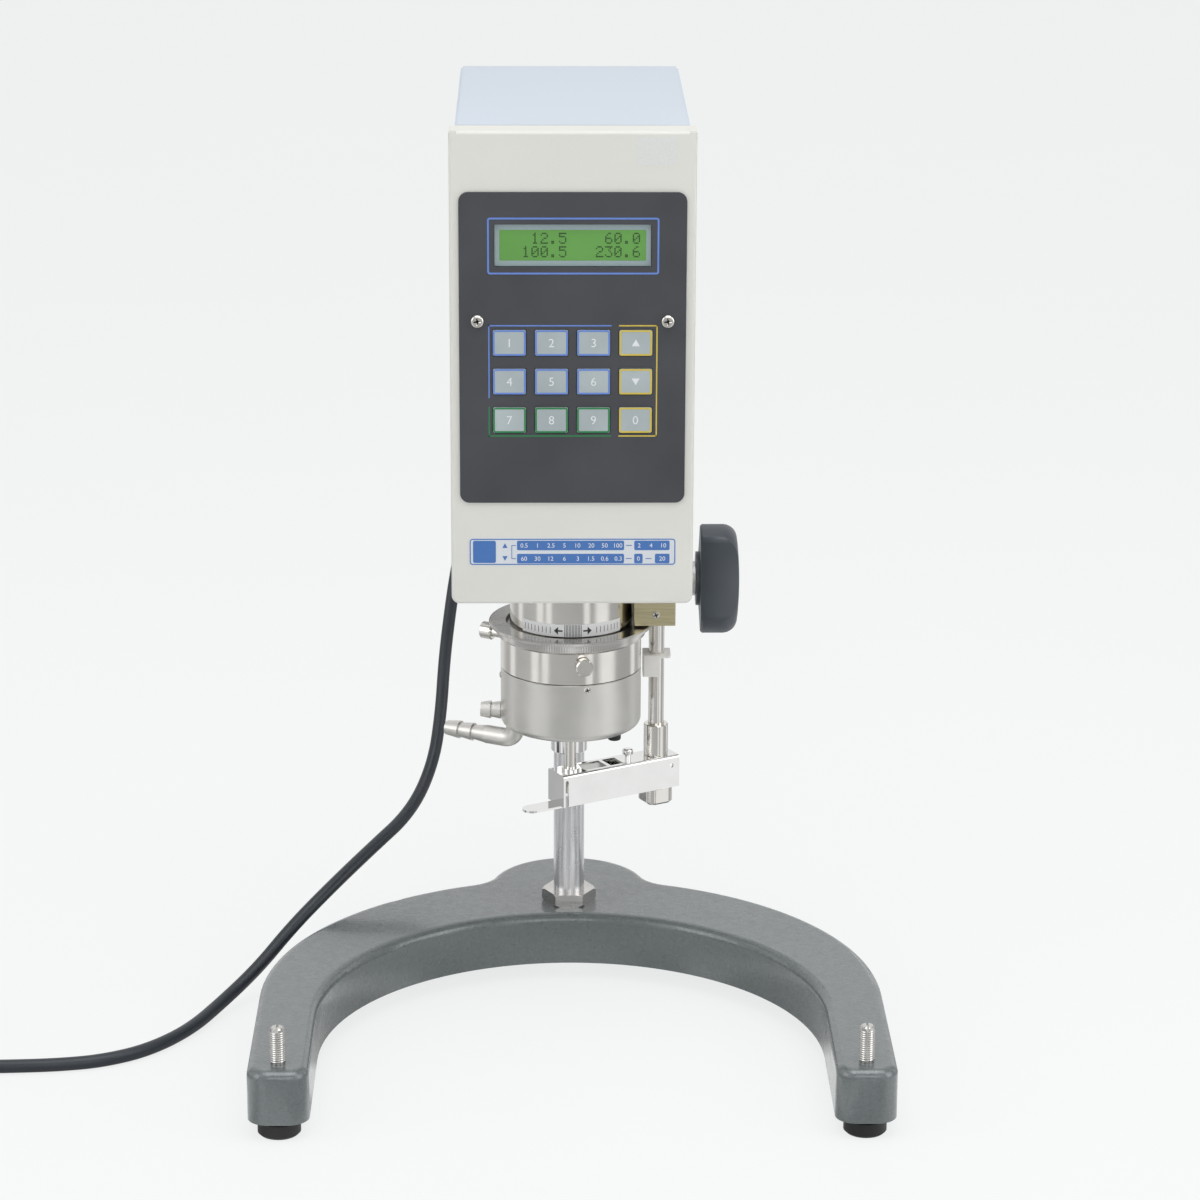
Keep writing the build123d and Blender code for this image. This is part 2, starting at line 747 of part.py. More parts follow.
def spindle_shaft():
    """The hanging spindle, with the spring's collet and the slotted lower disc."""
    bottom = neck_end - 6
    top = gear_top + 26
    shaft = upright(spindle_diameter, bottom, top, 0, axis_y)
    shaft += upright(14.0, gear_top + 10, gear_top + 16, 0, axis_y)
    disc = upright(36.0, gear_top + 19, gear_top + 20, 0, axis_y)
    for slit in range(18):
        disc -= Pos(0, axis_y, gear_top + 19.5) * Rot(0, 0, 20 * slit) * Pos(15.5, 0, 0) * Box(3.0, 1.2, 3)
    shaft += disc
    shaft += upright(10.0, gear_top + 16, gear_top + 19.1, 0, axis_y)
    return chamfer(shaft.edges().group_by(Axis.Z)[-1], 1.0)


def torsion_spring():
    """A flat spiral of three and a half turns between the collet and the post."""
    inner = 14.0 / 2 + free_gap
    outer = 18.5 - 1.2
    turns = 3.5
    steps = 42
    inside = []
    outside = []
    for step in range(steps + 1):
        angle = -2 * math.pi * turns * (steps - step) / steps
        radius = inner + (outer - 0.5 - inner) * step / steps
        inside.append((radius * math.cos(angle), radius * math.sin(angle)))
        outside.append(((radius + 0.5) * math.cos(angle), (radius + 0.5) * math.sin(angle)))
    strip = make_face(Polyline(*inside, *reversed(outside), close=True))
    return Pos(0, axis_y, gear_top + 11) * extrude(strip, 3.0)


# Measuring system


def neck():
    top = plate_top + flange_thickness
    lower_seat = top - 2 - bearing_width
    half = neck_diameter / 2
    bore = neck_bore / 2
    profile = [(5.5, head_bottom - 8), (bore, head_bottom - 8), (bore, neck_end), (half - 0.4, neck_end),
               (half, neck_end + 0.4), (half, plate_top), (neck_flange / 2, plate_top),
               (neck_flange / 2, top), (bearing_outer / 2 + running_gap, top),
               (bearing_outer / 2 + running_gap, lower_seat), (5.5, lower_seat)]
    return turned(profile, 0, axis_y)


def adjust_ring():
    half = neck_diameter / 2 + running_gap
    flange = ring_flange_diameter / 2
    band = ring_band_diameter / 2
    under = ring_top - ring_flange_thickness
    profile = [(half, ring_bottom + 0.3), (half + 0.3, ring_bottom), (band - 0.5, ring_bottom),
               (band, ring_bottom + 0.5), (band, under), (flange - 0.3, under), (flange, under + 0.3),
               (flange, ring_top - 0.3), (flange - 0.3, ring_top), (ring_flange_bore / 2, ring_top),
               (ring_flange_bore / 2, under), (half, under)]
    return turned(profile, 0, axis_y)


def cup_ring():
    """The polished upper part of the cup, which slides on the neck."""
    half = neck_diameter / 2 + running_gap
    outer = cup_diameter / 2
    spigot = bore_in_cup / 2 - running_gap
    profile = [(half, cup_ring_top), (outer - 0.5, cup_ring_top), (outer, cup_ring_top - 0.5),
               (outer, cup_ring_bottom + 0.3), (outer - 0.3, cup_ring_bottom), (spigot, cup_ring_bottom),
               (spigot, well_rim), (well_diameter / 2, well_rim), (well_diameter / 2, neck_end - 1),
               (half, neck_end - 1)]
    ring = turned(profile, 0, axis_y)
    for angle, head_start, head_length in thumb_screw_heads():
        ring -= radial_rod(3.0, half - 1, outer + 1, angle, cup_ring_top - 5.6)
    return ring


def thumb_screw_heads():
    """Angle round the cup, where the head starts off its wall, and the head's length."""
    in_front = (-80.5, 0.4, 3.6)
    behind_left = (150.0, 8.5, 5.8)
    return in_front, behind_left


def radial_rod(diameter, r0, r1, angle, z):
    """A bar that points away from the measuring axis."""
    bar = Pos((r0 + r1) / 2, 0, 0) * Rot(0, 90, 0) * Cylinder(diameter / 2, r1 - r0)
    return Pos(0, axis_y, z) * Rot(0, 0, angle) * bar


def thumb_screws():
    outer = cup_diameter / 2
    inner = neck_diameter / 2 + free_gap
    screws = []
    z = cup_ring_top - 5.6
    for angle, head_start, head_length in thumb_screw_heads():
        near = outer + head_start
        head = radial_rod(thumb_screw_diameter, near, near + head_length, angle, z)
        head = chamfer(rims(head, thumb_screw_diameter / 2), 0.5)
        neck_part = radial_rod(5.0, outer + 0.4, near + 0.5, angle, z)
        screws.append(head + neck_part + radial_rod(2.9, inner, outer + 1.0, angle, z))
    return Compound(screws)


def cup_jacket():
    """The water jacket: a turned pot with its wall bored for the two nozzles."""
    outer = cup_diameter / 2
    bore = bore_in_cup / 2
    pot = upright(cup_diameter, cup_bottom, cup_top, 0, axis_y)
    pot = fillet(pot.edges().group_by(Axis.Z)[0], cup_rounding)
    pot = chamfer(pot.edges().group_by(Axis.Z)[-1], 0.3)
    pot -= upright(2 * bore, cup_bottom + cup_floor, cup_top + 1, 0, axis_y)
    start, end = upper_nozzle_line()
    pot -= bar_between(nozzle_bore, start, end)
    low = lower_nozzle_route()[0]
    pot -= upright(nozzle_bore, cup_bottom - 1, cup_bottom + cup_floor + 1, low[0], low[1])
    pot -= upright(nozzle_pipe, cup_bottom - 1, cup_bottom + nozzle_socket, low[0], low[1])
    plug_x, plug_y = plug_place()
    pot -= upright(3.0, cup_bottom - 1, cup_bottom + 2, plug_x, plug_y)
    return pot


def sample_cup():
    """The removable dish: its floor is the measuring plate and its wall holds the sample."""
    outer = bore_in_cup / 2 - running_gap
    inner = well_diameter / 2
    profile = [(0, well_floor - plate_thickness), (outer - 4, well_floor - plate_thickness),
               (outer - 4, well_floor - 3), (outer, well_floor - 3), (outer, well_rim),
               (inner, well_rim), (inner, well_floor), (0, well_floor)]
    dish = turned(profile, 0, axis_y)
    seat = tube(2 * outer, 2 * outer - 8, cup_bottom + cup_floor, well_floor - 3, 0, axis_y)
    slot_low = cup_bottom + cup_floor - 1
    for turn in range(4):
        opening = Pos(0, axis_y, slot_low) * Rot(0, 0, 6 + 90 * turn) * Pos(outer, 0, 3) * Box(12, 16, 9)
        seat -= opening
    return dish + seat


def cone_rotor():
    """The cone on its hub, which screws on to the spindle."""
    radius = cone_diameter / 2
    tip = well_floor + cone_gap
    rise = radius * math.tan(math.radians(cone_angle))
    top = tip + rise + cone_rim
    hub = 6.0
    profile = [(0, tip), (radius, tip + rise), (radius, top), (hub, top), (hub, neck_end + 4),
               (spindle_diameter / 2, neck_end + 4), (spindle_diameter / 2, neck_end - 6),
               (0, neck_end - 6)]
    return turned(profile, 0, axis_y)


def upper_nozzle_line():
    z = cup_bottom + 4.75
    return (-24.0, axis_y + 1.5, z), (-39.8, axis_y + 3.5, z)


def lower_nozzle_route():
    x, y = -24.5, axis_y - 7.8
    z = cup_bottom - nozzle_drop
    return (x, y, cup_bottom + nozzle_socket), (x, y, z), (-55.0, axis_y + 8.0, z)


def bar_between(diameter, start, end):
    line = Vector(*end) - Vector(*start)
    place = Plane(origin=start, z_dir=line.normalized())
    return place * Pos(0, 0, line.length / 2) * Cylinder(diameter / 2, line.length)


def barbs(start, end, length, count):
    """Tapered rings at the end of a nozzle, on which a hose grips."""
    line = (Vector(*start) - Vector(*end)).normalized()
    place = Plane(origin=end, z_dir=line)
    step = length / count
    rings = []
    for ring in range(count):
        rings.append(place * Pos(0, 0, (ring + 0.5) * step) * Cone(nozzle_core / 2, nozzle_diameter / 2, step))
    return rings


def barbed_end(start, end, length, count):
    """A bored nozzle end with its barbs, from start to end."""
    nozzle = bar_between(nozzle_core, start, end)
    for ring in barbs(start, end, length, count):
        nozzle += ring
    beyond = Vector(*end) * 2 - Vector(*start)
    return nozzle - bar_between(nozzle_bore, start, beyond)


def hose_nozzles():
    start, end = upper_nozzle_line()
    upper = barbed_end(start, end, 9.0, 2)
    upper -= upright(cup_diameter, cup_bottom - 1, cup_top + 1, 0, axis_y)
    stub, bend, tip = lower_nozzle_route()
    line = (Vector(*tip) - Vector(*bend)).normalized()
    pipe_end = Vector(*tip) - line * barbed_length
    path = FilletPolyline(stub, bend, pipe_end, radius=nozzle_bend)
    wall = Circle(nozzle_pipe / 2) - Circle(nozzle_bore / 2)
    lower = sweep(Plane(origin=path @ 0, z_dir=path % 0) * wall, path)
    lower += barbed_end(pipe_end, tip, barbed_length, 3)
    return Compound([upper, lower])


def plug_place():
    return 19.0, axis_y - 17.0


def cup_plug():
    """The small dark plug under the cup."""
    x, y = plug_place()
    plug = upright(5.8, cup_bottom - 2.6, cup_bottom, x, y)
    plug = fillet(plug.edges().group_by(Axis.Z)[0], 0.8)
    return plug + upright(3.0, cup_bottom - 0.1, cup_bottom + 2, x, y)


# Clamp


def rod_block():
    """The gold-coloured block that carries the rod under the head."""
    body = block(block_left, block_left + block_width, block_front, block_front + block_depth,
                 head_bottom - block_height, head_bottom)
    body = chamfer(upright_edges(body), 0.5)
    body -= upright(rod_diameter + running_gap, head_bottom - block_height - 1, head_bottom - 4,
                    rod_x, rod_y)
    return body


def clamp_rod():
    bottom = arm_bottom - rod_nut_height - 0.6
    rod = upright(rod_diameter, bottom, head_bottom - 4, rod_x, rod_y)
    rod = chamfer(rod.edges().group_by(Axis.Z)[0], 0.6)
    collar = upright(rod_diameter + 1.6, head_bottom - block_height - 1.2, head_bottom - block_height,
                     rod_x, rod_y)
    return rod + collar


def rod_clip():
    """The pale clip on the rod, open at one side, with a thin flange on top."""
    low = head_bottom - 55.0
    body = block(rod_x - 6.2, rod_x + 2.0, rod_y - 5.5, rod_y + 6.0, low, low + 10)
    body += block(rod_x - 4.8, rod_x + 6.2, rod_y - 5.5, rod_y + 6.0, low + 8.8, low + 10)
    body = fillet(upright_edges(body), 0.8)
    return body - upright(rod_diameter + running_gap, low - 1, low + 11, rod_x, rod_y)


def in_arm_frame(solid):
    """Local X runs from the support pin to the rod."""
    return Pos(0, axis_y, 0) * Rot(0, 0, arm_angle) * solid


def clamp_arm():
    """The folded sheet arm: roof, two sides, a slotted end with a finger tab, and windows."""
    end = arm_reach + arm_past_rod
    half = arm_width / 2
    start = -arm_before_pin
    outside = block(start, end, -half, half, arm_bottom, arm_top)
    long_edges = outside.edges().filter_by(Axis.X).group_by(Axis.Z)[-1]
    outside = fillet(long_edges, 1.2)
    inside = block(start + arm_skin, end + 1, -half + arm_skin, half - arm_skin,
                   arm_bottom - 1, arm_top - arm_skin)
    arm = outside - inside
    slot_top = arm_top - 2.4
    for side in (-1, 1):
        y = side * half
        x0 = start + arm_skin
        arm -= block(x0, x0 + arm_slot, y - 1.5, y + 1.5, arm_bottom - 1, slot_top - arm_slot / 2)
        arm -= lengthwise(arm_slot, y - 1.5, y + 1.5, x0 + arm_slot / 2, slot_top - arm_slot / 2)
    tab = block(start - tab_length + tab_width / 2, start + 0.2, -tab_width / 2, tab_width / 2,
                arm_bottom - arm_skin, arm_bottom)
    tab += upright(tab_width, arm_bottom - arm_skin, arm_bottom, start - tab_length + tab_width / 2, 0)
    arm += tab
    arm += block(start, start + arm_skin, -tab_width / 2, tab_width / 2, arm_bottom - arm_skin, arm_bottom + 1)
    for x0, x1 in ((5.0, 16.5), (18.3, 24.8)):
        arm -= block(x0, x1, -4.2, 4.2, arm_top - 2, arm_top + 1)
    arm += tube(pin_collar + 0.4, pin_diameter, arm_top - 0.1, arm_top + 1.2)
    arm -= upright(pin_diameter + 2 * running_gap, arm_top - 3, arm_top + 3)
    arm -= upright(rod_diameter + 2.4, arm_top - 3, arm_top + 3, arm_reach)
    arm -= lengthwise(2.0, -half - 1, half + 1, end - 4.0, arm_top - 4.5)
    return in_arm_frame(arm)


def arm_screw():
    """The small mushroom screw on the arm's roof."""
    x = 29.5
    screw = upright(2.6, arm_top, arm_top + 2.6, x)
    screw += fillet(upright(4.8, arm_top + 2.4, arm_top + 4.8, x).edges().group_by(Axis.Z)[-1], 1.0)
    return in_arm_frame(screw)


def arm_bush():
    """The bush above the arm's roof, which turns on the rod with the arm."""
    bore = rod_diameter + 2 * running_gap
    bush = tube(bush_diameter, bore, arm_top, arm_top + bush_height, arm_reach)
    bush = chamfer(rims(bush, bush_diameter / 2), 0.4)
    bush += tube(rod_diameter + 2.3, bore, arm_top - arm_skin - 0.8, arm_top + 0.1, arm_reach)
    return in_arm_frame(bush)


def rod_nut():
    """The rounded square nut on the end of the rod."""
    low = arm_bottom - free_gap - rod_nut_height
    nut = Pos(0, 0, low) * extrude(Rectangle(rod_nut_size, rod_nut_size), rod_nut_height)
    nut = fillet(upright_edges(nut), 3.6)
    nut = chamfer(nut.edges().group_by(Axis.Z)[0], 1.0)
    nut -= upright(rod_diameter + running_gap, low - 1, low + rod_nut_height + 1)
    return Pos(rod_x, rod_y, 0) * Rot(0, 0, arm_angle) * nut


def support_pin():
    """The sprung pin that pushes up under the cup, with its collar inside the arm."""
    top = cup_bottom - pin_gap
    pin = upright(pin_diameter, arm_bottom + 4.0, top)
    pin = fillet(pin.edges().group_by(Axis.Z)[-1], 0.8)
    collar_top = arm_top - arm_skin - free_gap
    pin += upright(pin_collar, collar_top - 2.0, collar_top)
    return in_arm_frame(pin)


# Mains cord


def cord_route():
    """Points along the cord, from the bushing to the coil, chosen to hang and lie as it does."""
    start_z = head_bottom + bushing_height
    exit_y = head_back + bushing_length
    lie = cord_diameter / 2
    return [
        (bushing_across, exit_y, start_z),
        (bushing_across, exit_y + 18, start_z),
        (bushing_across - 3, exit_y + 39, start_z - 9),
        (bushing_across - 8.5, exit_y + 50, start_z - 29),
        (bushing_across - 15, exit_y + 50, start_z - 53),
        (bushing_across - 20, exit_y + 45, start_z - 75),
        (bushing_across - 23, exit_y + 39, start_z - 94),
        (bushing_across - 26, exit_y + 34, start_z - 118),
        (bushing_across - 27.5, exit_y + 23, start_z - 141),
        (bushing_across - 31, exit_y + 7, start_z - 162),
        (bushing_across - 41, exit_y - 17, start_z - 178),
        (bushing_across - 60, exit_y - 42, start_z - 188),
        (bushing_across - 78, exit_y - 65, start_z - 198.5),
        (bushing_across - 95, exit_y - 81, start_z - 211.5),
        (bushing_across - 110, exit_y - 97, start_z - 225.5),
        (bushing_across - 125, exit_y - 115, lie + 2.5),
        (bushing_across - 138, exit_y - 142, lie),
        (bushing_across - 155, exit_y - 165, lie),
        (bushing_across - 174, exit_y - 176.5, lie),
        (bushing_across - 192, exit_y - 180.5, lie),
        (bushing_across - 211, exit_y - 182, lie),
        (bushing_across - 230, exit_y - 182.5, lie),
        (bushing_across - 249, exit_y - 182, lie),
        (bushing_across - 266, exit_y - 180.5, lie),
    ]


def route_radii(points):
    """As large a radius at each corner as its two runs allow."""
    radii = []
    for before, here, after in zip(points, points[1:], points[2:]):
        run_in = Vector(*here) - Vector(*before)
        run_out = Vector(*after) - Vector(*here)
        half_turn = math.radians(run_in.get_angle(run_out)) / 2
        radii.append(0.45 * min(run_in.length, run_out.length) / math.tan(half_turn))
    return radii


def cord_tube(points):
    radii = route_radii(points)
    path = FilletPolyline(*points, radius=radii)
    section = Plane(origin=path @ 0, z_dir=path % 0) * Circle(cord_diameter / 2)
    solid = sweep(section, path)
    expected = math.pi * cord_diameter ** 2 / 4 * path.length
    print("cord run", round(path.length, 1), "mm, radii", [round(radius) for radius in radii],
          "volume ratio", round(solid.volume / expected, 4))
    return solid


def coil_centre():
    return coil_across, coil_back


def lead_route():
    """The short free end from the coil's upper layer to the plug."""
    x, y = coil_centre()
    lie = cord_diameter * coil_layers - cord_diameter / 2
    return [(x - 38.5, y - 4, lie), (x - 42.5, y + 15, lie), (x - 43.4, y + 34.3, lie)]


def power_cord():
    return Compound([cord_tube(cord_route()), cord_tube(lead_route())])


def cord_coil():
    """The outer shape of the wound turns."""
    x, y = coil_centre()
    middle = coil_diameter / 2
    half = cord_diameter * coil_abreast / 2
    height = cord_diameter * coil_layers
    soft = cord_diameter / 2 - 0.4
    ring = tube(2 * (middle + half), 2 * (middle - half), 0, height, x, y)
    circles = ring.edges().filter_by(GeomType.CIRCLE).group_by(Axis.Z)
    ring = fillet(circles[-1], soft)
    ring = chamfer(ring.edges().filter_by(GeomType.CIRCLE).group_by(Axis.Z)[0], 1.4)
    turns = coil_abreast * coil_layers
    print("coil holds", round(turns * math.pi * coil_diameter, 1), "mm in", turns, "turns")
    return ring


def power_plug():
    """A moulded plug lying on the table beside the coil: two blades and a round pin."""
    points = lead_route()
    end = Vector(*points[-1])
    line = (end - Vector(*points[-2])).normalized()
    turn = math.degrees(math.atan2(line.Y, line.X))
    half_tall = end.Z
    relief = Pos(8.0, 0, 0) * Rot(0, 90, 0) * Cone(cord_diameter / 2 + 0.6, plug_neck / 2, 16.0)
    body = Pos(15.0 + plug_length / 2, 0, 0) * Box(plug_length, plug_width, 2 * half_tall)
    body = fillet(body.edges().filter_by(Axis.X), 5.5)
    body = fillet(body.edges().group_by(Axis.X)[0], 3.0)
    plug = body + relief
    front = 15.0 + plug_length
    for side in (-1, 1):
        blade = Pos(front + 8.5, side * 6.35, 1.5) * Box(18.0, 1.5, 6.3)
        plug += blade
    plug += Pos(front + 9.0, 0, -4.6) * Rot(0, 90, 0) * Cylinder(2.4, 19.0)
    return Pos(*end) * Rot(0, 0, turn) * plug


def build_all():
    nodes = {
        "base_casting": base_casting(),
        "column": column(),
        "column_nuts": column_nuts(),
        "rear_foot": rear_foot(),
        "elevator_block": elevator_block(),
        "guide_tube": guide_tube(),
        "pinion_shaft": pinion_shaft(),
        "lift_knob": lift_knob(),
        "front_panel": front_panel(),
        "rear_cover": rear_cover(),
        "front_plate": front_plate(),
        "panel_screws": panel_screws(),
        "display_module": display_module(),
        "circuit_board": circuit_board(),
        "power_supply": power_supply(),
        "cord_bushing": cord_bushing(),
        "switch_frame": switch_frame(),
        "switch_rocker": switch_rocker(),
        "chassis": chassis(),
        "motor": motor(),
        "motor_pinion": motor_pinion(),
        "drive_gear": drive_gear(),
        "torsion_spring": torsion_spring(),
        "spindle_shaft": spindle_shaft(),
        "spindle_bearings": spindle_bearings(),
        "neck": neck(),
        "adjust_ring": adjust_ring(),
        "cup_ring": cup_ring(),
        "thumb_screws": thumb_screws(),
        "cup_jacket": cup_jacket(),
        "sample_cup": sample_cup(),
        "cone_rotor": cone_rotor(),
        "hose_nozzles": hose_nozzles(),
        "cup_plug": cup_plug(),
        "rod_block": rod_block(),
        "clamp_rod": clamp_rod(),
        "rod_clip": rod_clip(),
        "clamp_arm": Compound([clamp_arm(), arm_screw()]),
        "arm_bush": arm_bush(),
        "rod_nut": rod_nut(),
        "support_pin": support_pin(),
        "power_cord": power_cord(),
        "cord_coil": cord_coil(),
        "power_plug": power_plug(),
    }
    for side, word in ((-1, "left"), (1, "right")):
        nodes["levelling_screw_" + word] = levelling_screw(side)
        nodes["foot_pad_" + word] = foot_pad(side)
    for number, (x, z) in enumerate(key_places(), start=1):
        nodes["key_" + str(number)] = membrane_key(x, z)
    return nodes


os.makedirs("parts", exist_ok=True)
for name, solid in build_all().items():
    export_step(solid, "parts/" + name + ".step")
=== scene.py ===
import math

import bmesh
import bpy
from mathutils import Matrix, Vector


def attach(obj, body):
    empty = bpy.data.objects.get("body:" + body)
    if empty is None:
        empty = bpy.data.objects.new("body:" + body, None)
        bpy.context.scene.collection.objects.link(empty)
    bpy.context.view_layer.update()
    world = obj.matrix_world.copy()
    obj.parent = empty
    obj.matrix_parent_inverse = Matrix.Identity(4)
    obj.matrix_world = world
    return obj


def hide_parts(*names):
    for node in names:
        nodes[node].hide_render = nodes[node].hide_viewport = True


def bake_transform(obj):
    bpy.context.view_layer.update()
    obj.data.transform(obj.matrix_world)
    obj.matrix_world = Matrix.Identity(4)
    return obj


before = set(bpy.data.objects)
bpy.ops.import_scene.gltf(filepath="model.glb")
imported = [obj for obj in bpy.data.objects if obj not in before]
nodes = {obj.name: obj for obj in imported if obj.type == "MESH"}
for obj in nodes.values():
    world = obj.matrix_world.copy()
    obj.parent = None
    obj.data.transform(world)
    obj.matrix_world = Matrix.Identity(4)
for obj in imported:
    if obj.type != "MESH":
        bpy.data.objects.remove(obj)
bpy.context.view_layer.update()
print("frame loaded:", len(nodes), "pieces")

scene = bpy.context.scene
scene.view_settings.view_transform = "Standard"


def mm(*values):
    return Vector([value / 1000 for value in values])


def linear(r, g, b):
    # sRGB 0..255 to the linear colour that a socket takes
    channel = lambda v: v / 12.92 if v <= 0.04045 else ((v + 0.055) / 1.055) ** 2.4
    return (channel(r / 255), channel(g / 255), channel(b / 255), 1.0)


def meshObject(name, bm, material, smooth=None):
    mesh = bpy.data.meshes.new(name)
    bm.normal_update()
    bm.to_mesh(mesh)
    bm.free()
    piece = bpy.data.objects.new(name, mesh)
    scene.collection.objects.link(piece)
    mesh.materials.append(material)
    if smooth:
        mesh.polygons.foreach_set("use_smooth", [True] * len(mesh.polygons))
        mesh.set_sharp_from_angle(angle=math.radians(smooth))
    return piece


def addBox(bm, low, high, bevel=0.0):
    made = bmesh.ops.create_cube(bm, size=1.0)
    centre = (Vector(low) + Vector(high)) / 2
    size = Vector(high) - Vector(low)
    for vert in made["verts"]:
        vert.co = Vector((vert.co.x * size.x, vert.co.y * size.y, vert.co.z * size.z)) + centre
    if bevel:
        edges = list({edge for vert in made["verts"] for edge in vert.link_edges})
        bmesh.ops.bevel(bm, geom=edges, offset=bevel, segments=2, affect="EDGES")


def addLathe(bm, profile, matrix, steps=64):
    # profile is (radius, height) in metres, turned about local Z
    rings = []
    for radius, height in profile:
        if radius < 1e-7:
            rings.append([bm.verts.new(matrix @ Vector((0, 0, height)))])
            continue
        ring = []
        for step in range(steps):
            angle = 2 * math.pi * step / steps
            local = Vector((radius * math.cos(angle), radius * math.sin(angle), height))
            ring.append(bm.verts.new(matrix @ local))
        rings.append(ring)
    for lower, upper in zip(rings, rings[1:]):
        for step in range(steps):
            a, b = lower[step % len(lower)], lower[(step + 1) % len(lower)]
            c, d = upper[(step + 1) % len(upper)], upper[step % len(upper)]
            corners = []
            for vert in (a, b, c, d):
                if vert not in corners:
                    corners.append(vert)
            if len(corners) > 2:
                bm.faces.new(corners)


def pointing(origin, direction, up=(0, 0, 1)):
    # a matrix whose local Z looks along direction
    z = Vector(direction).normalized()
    x = Vector(up).cross(z)
    if x.length < 1e-6:
        x = Vector((1, 0, 0))
    x.normalize()
    y = z.cross(x)
    turn = Matrix((x, y, z)).transposed().to_4x4()
    return Matrix.Translation(origin) @ turn


def roundedRect(width, height, radius, cx=0.0, cz=0.0, steps=5):
    points = []
    for index, (sx, sz) in enumerate(((1, 1), (-1, 1), (-1, -1), (1, -1))):
        for step in range(steps + 1):
            angle = math.radians(90 * index + 90 * step / steps)
            points.append((cx + sx * (width / 2 - radius) + radius * math.cos(angle),
                           cz + sz * (height / 2 - radius) + radius * math.sin(angle)))
    return points


def addPrint(bm, loops, y, thick=0.05):
    # a thin raised print on a face that looks towards -Y; sizes in mm, the first loop is the outside
    front = [[bm.verts.new(mm(x, y - thick, z)) for x, z in loop] for loop in loops]
    back = [[bm.verts.new(mm(x, y, z)) for x, z in loop] for loop in loops]
    count = len(loops[0])
    if len(loops) == 2:
        for i in range(count):
            j = (i + 1) % count
            bm.faces.new((front[0][i], front[1][i], front[1][j], front[0][j]))
    else:
        bm.faces.new(list(reversed(front[0])))
    for loopFront, loopBack in zip(front, back):
        for i in range(count):
            j = (i + 1) % count
            bm.faces.new((loopFront[i], loopFront[j], loopBack[j], loopBack[i]))


def addRing(bm, width, height, radius, line, cx, cz, y, thick=0.05):
    outer = roundedRect(width, height, radius, cx, cz)
    inner = roundedRect(width - 2 * line, height - 2 * line, max(radius - line, 0.15), cx, cz)
    addPrint(bm, [outer, inner], y, thick)


def addStrip(bm, points, line, y, thick=0.05):
    half = line / 2
    for (x0, z0), (x1, z1) in zip(points, points[1:]):
        low = (min(x0, x1) - half, min(z0, z1) - half)
        high = (max(x0, x1) + half, max(z0, z1) + half)
        addPrint(bm, [[(low[0], low[1]), (high[0], low[1]), (high[0], high[1]), (low[0], high[1])]], y, thick)


def addWords(bm, words, size, cx, cz, y, thick=0.05):
    # plain numbers and signs, laid flat on a face that looks towards -Y
    curve = bpy.data.curves.new("words", "FONT")
    curve.body = words
    curve.size = size
    curve.align_x = "CENTER"
    curve.align_y = "CENTER"
    curve.resolution_u = 3
    holder = bpy.data.objects.new("words", curve)
    scene.collection.objects.link(holder)
    bpy.context.view_layer.update()
    mesh = bpy.data.meshes.new_from_object(holder)
    low = Vector((min(v.co.x for v in mesh.vertices), min(v.co.y for v in mesh.vertices), 0))
    high = Vector((max(v.co.x for v in mesh.vertices), max(v.co.y for v in mesh.vertices), 0))
    middle = (low + high) / 2
    mesh.transform(Matrix.Translation((-middle.x, -middle.y, 0)))
    upright = Matrix.Rotation(math.radians(90), 4, "X")
    mesh.transform(Matrix.Translation(mm(cx, y - thick, cz)) @ upright @ Matrix.Scale(0.001, 4))
    bm.from_mesh(mesh)
    bpy.data.objects.remove(holder)
    bpy.data.meshes.remove(mesh)


def startMaterial(name, colour, roughness=0.5, metallic=0.0):
    material = bpy.data.materials.new(name)
    material.use_nodes = True
    material.node_tree.nodes.clear()
    tree = material.node_tree
    output = tree.nodes.new("ShaderNodeOutputMaterial")
    shader = tree.nodes.new("ShaderNodeBsdfPrincipled")
    shader.inputs["Base Color"].default_value = colour
    shader.inputs["Roughness"].default_value = roughness
    shader.inputs["Metallic"].default_value = metallic
    tree.links.new(shader.outputs[0], output.inputs[0])
    return material, tree, shader


def coordinates(tree, scale=(1, 1, 1)):
    source = tree.nodes.new("ShaderNodeTexCoord")
    mapping = tree.nodes.new("ShaderNodeMapping")
    mapping.inputs["Scale"].default_value = scale
    tree.links.new(source.outputs["Object"], mapping.inputs["Vector"])
    return mapping.outputs[0]


def noise(tree, vector, scale, detail=2.0, roughness=0.5):
    node = tree.nodes.new("ShaderNodeTexNoise")
    node.inputs["Scale"].default_value = scale
    node.inputs["Detail"].default_value = detail
    node.inputs["Roughness"].default_value = roughness
    tree.links.new(vector, node.inputs["Vector"])
    return node.outputs[0]


def ramp(tree, value, stops):
    node = tree.nodes.new("ShaderNodeValToRGB")
    node.color_ramp.elements[0].position = stops[0][0]
    node.color_ramp.elements[0].color = stops[0][1]
    node.color_ramp.elements[1].position = stops[-1][0]
    node.color_ramp.elements[1].color = stops[-1][1]
    for position, colour in stops[1:-1]:
        node.color_ramp.elements.new(position).color = colour
    tree.links.new(value, node.inputs[0])
    return node.outputs[0]


def grey(value):
    return (value, value, value, 1.0)


def bump(tree, shader, height, strength, distance, after=None):
    node = tree.nodes.new("ShaderNodeBump")
    node.inputs["Strength"].default_value = strength
    node.inputs["Distance"].default_value = distance
    tree.links.new(height, node.inputs["Height"])
    if after:
        tree.links.new(after, node.inputs["Normal"])
    tree.links.new(node.outputs[0], shader.inputs["Normal"])
    return node.outputs[0]


def shade(colour, factor):
    return (colour[0] * factor, colour[1] * factor, colour[2] * factor, 1.0)


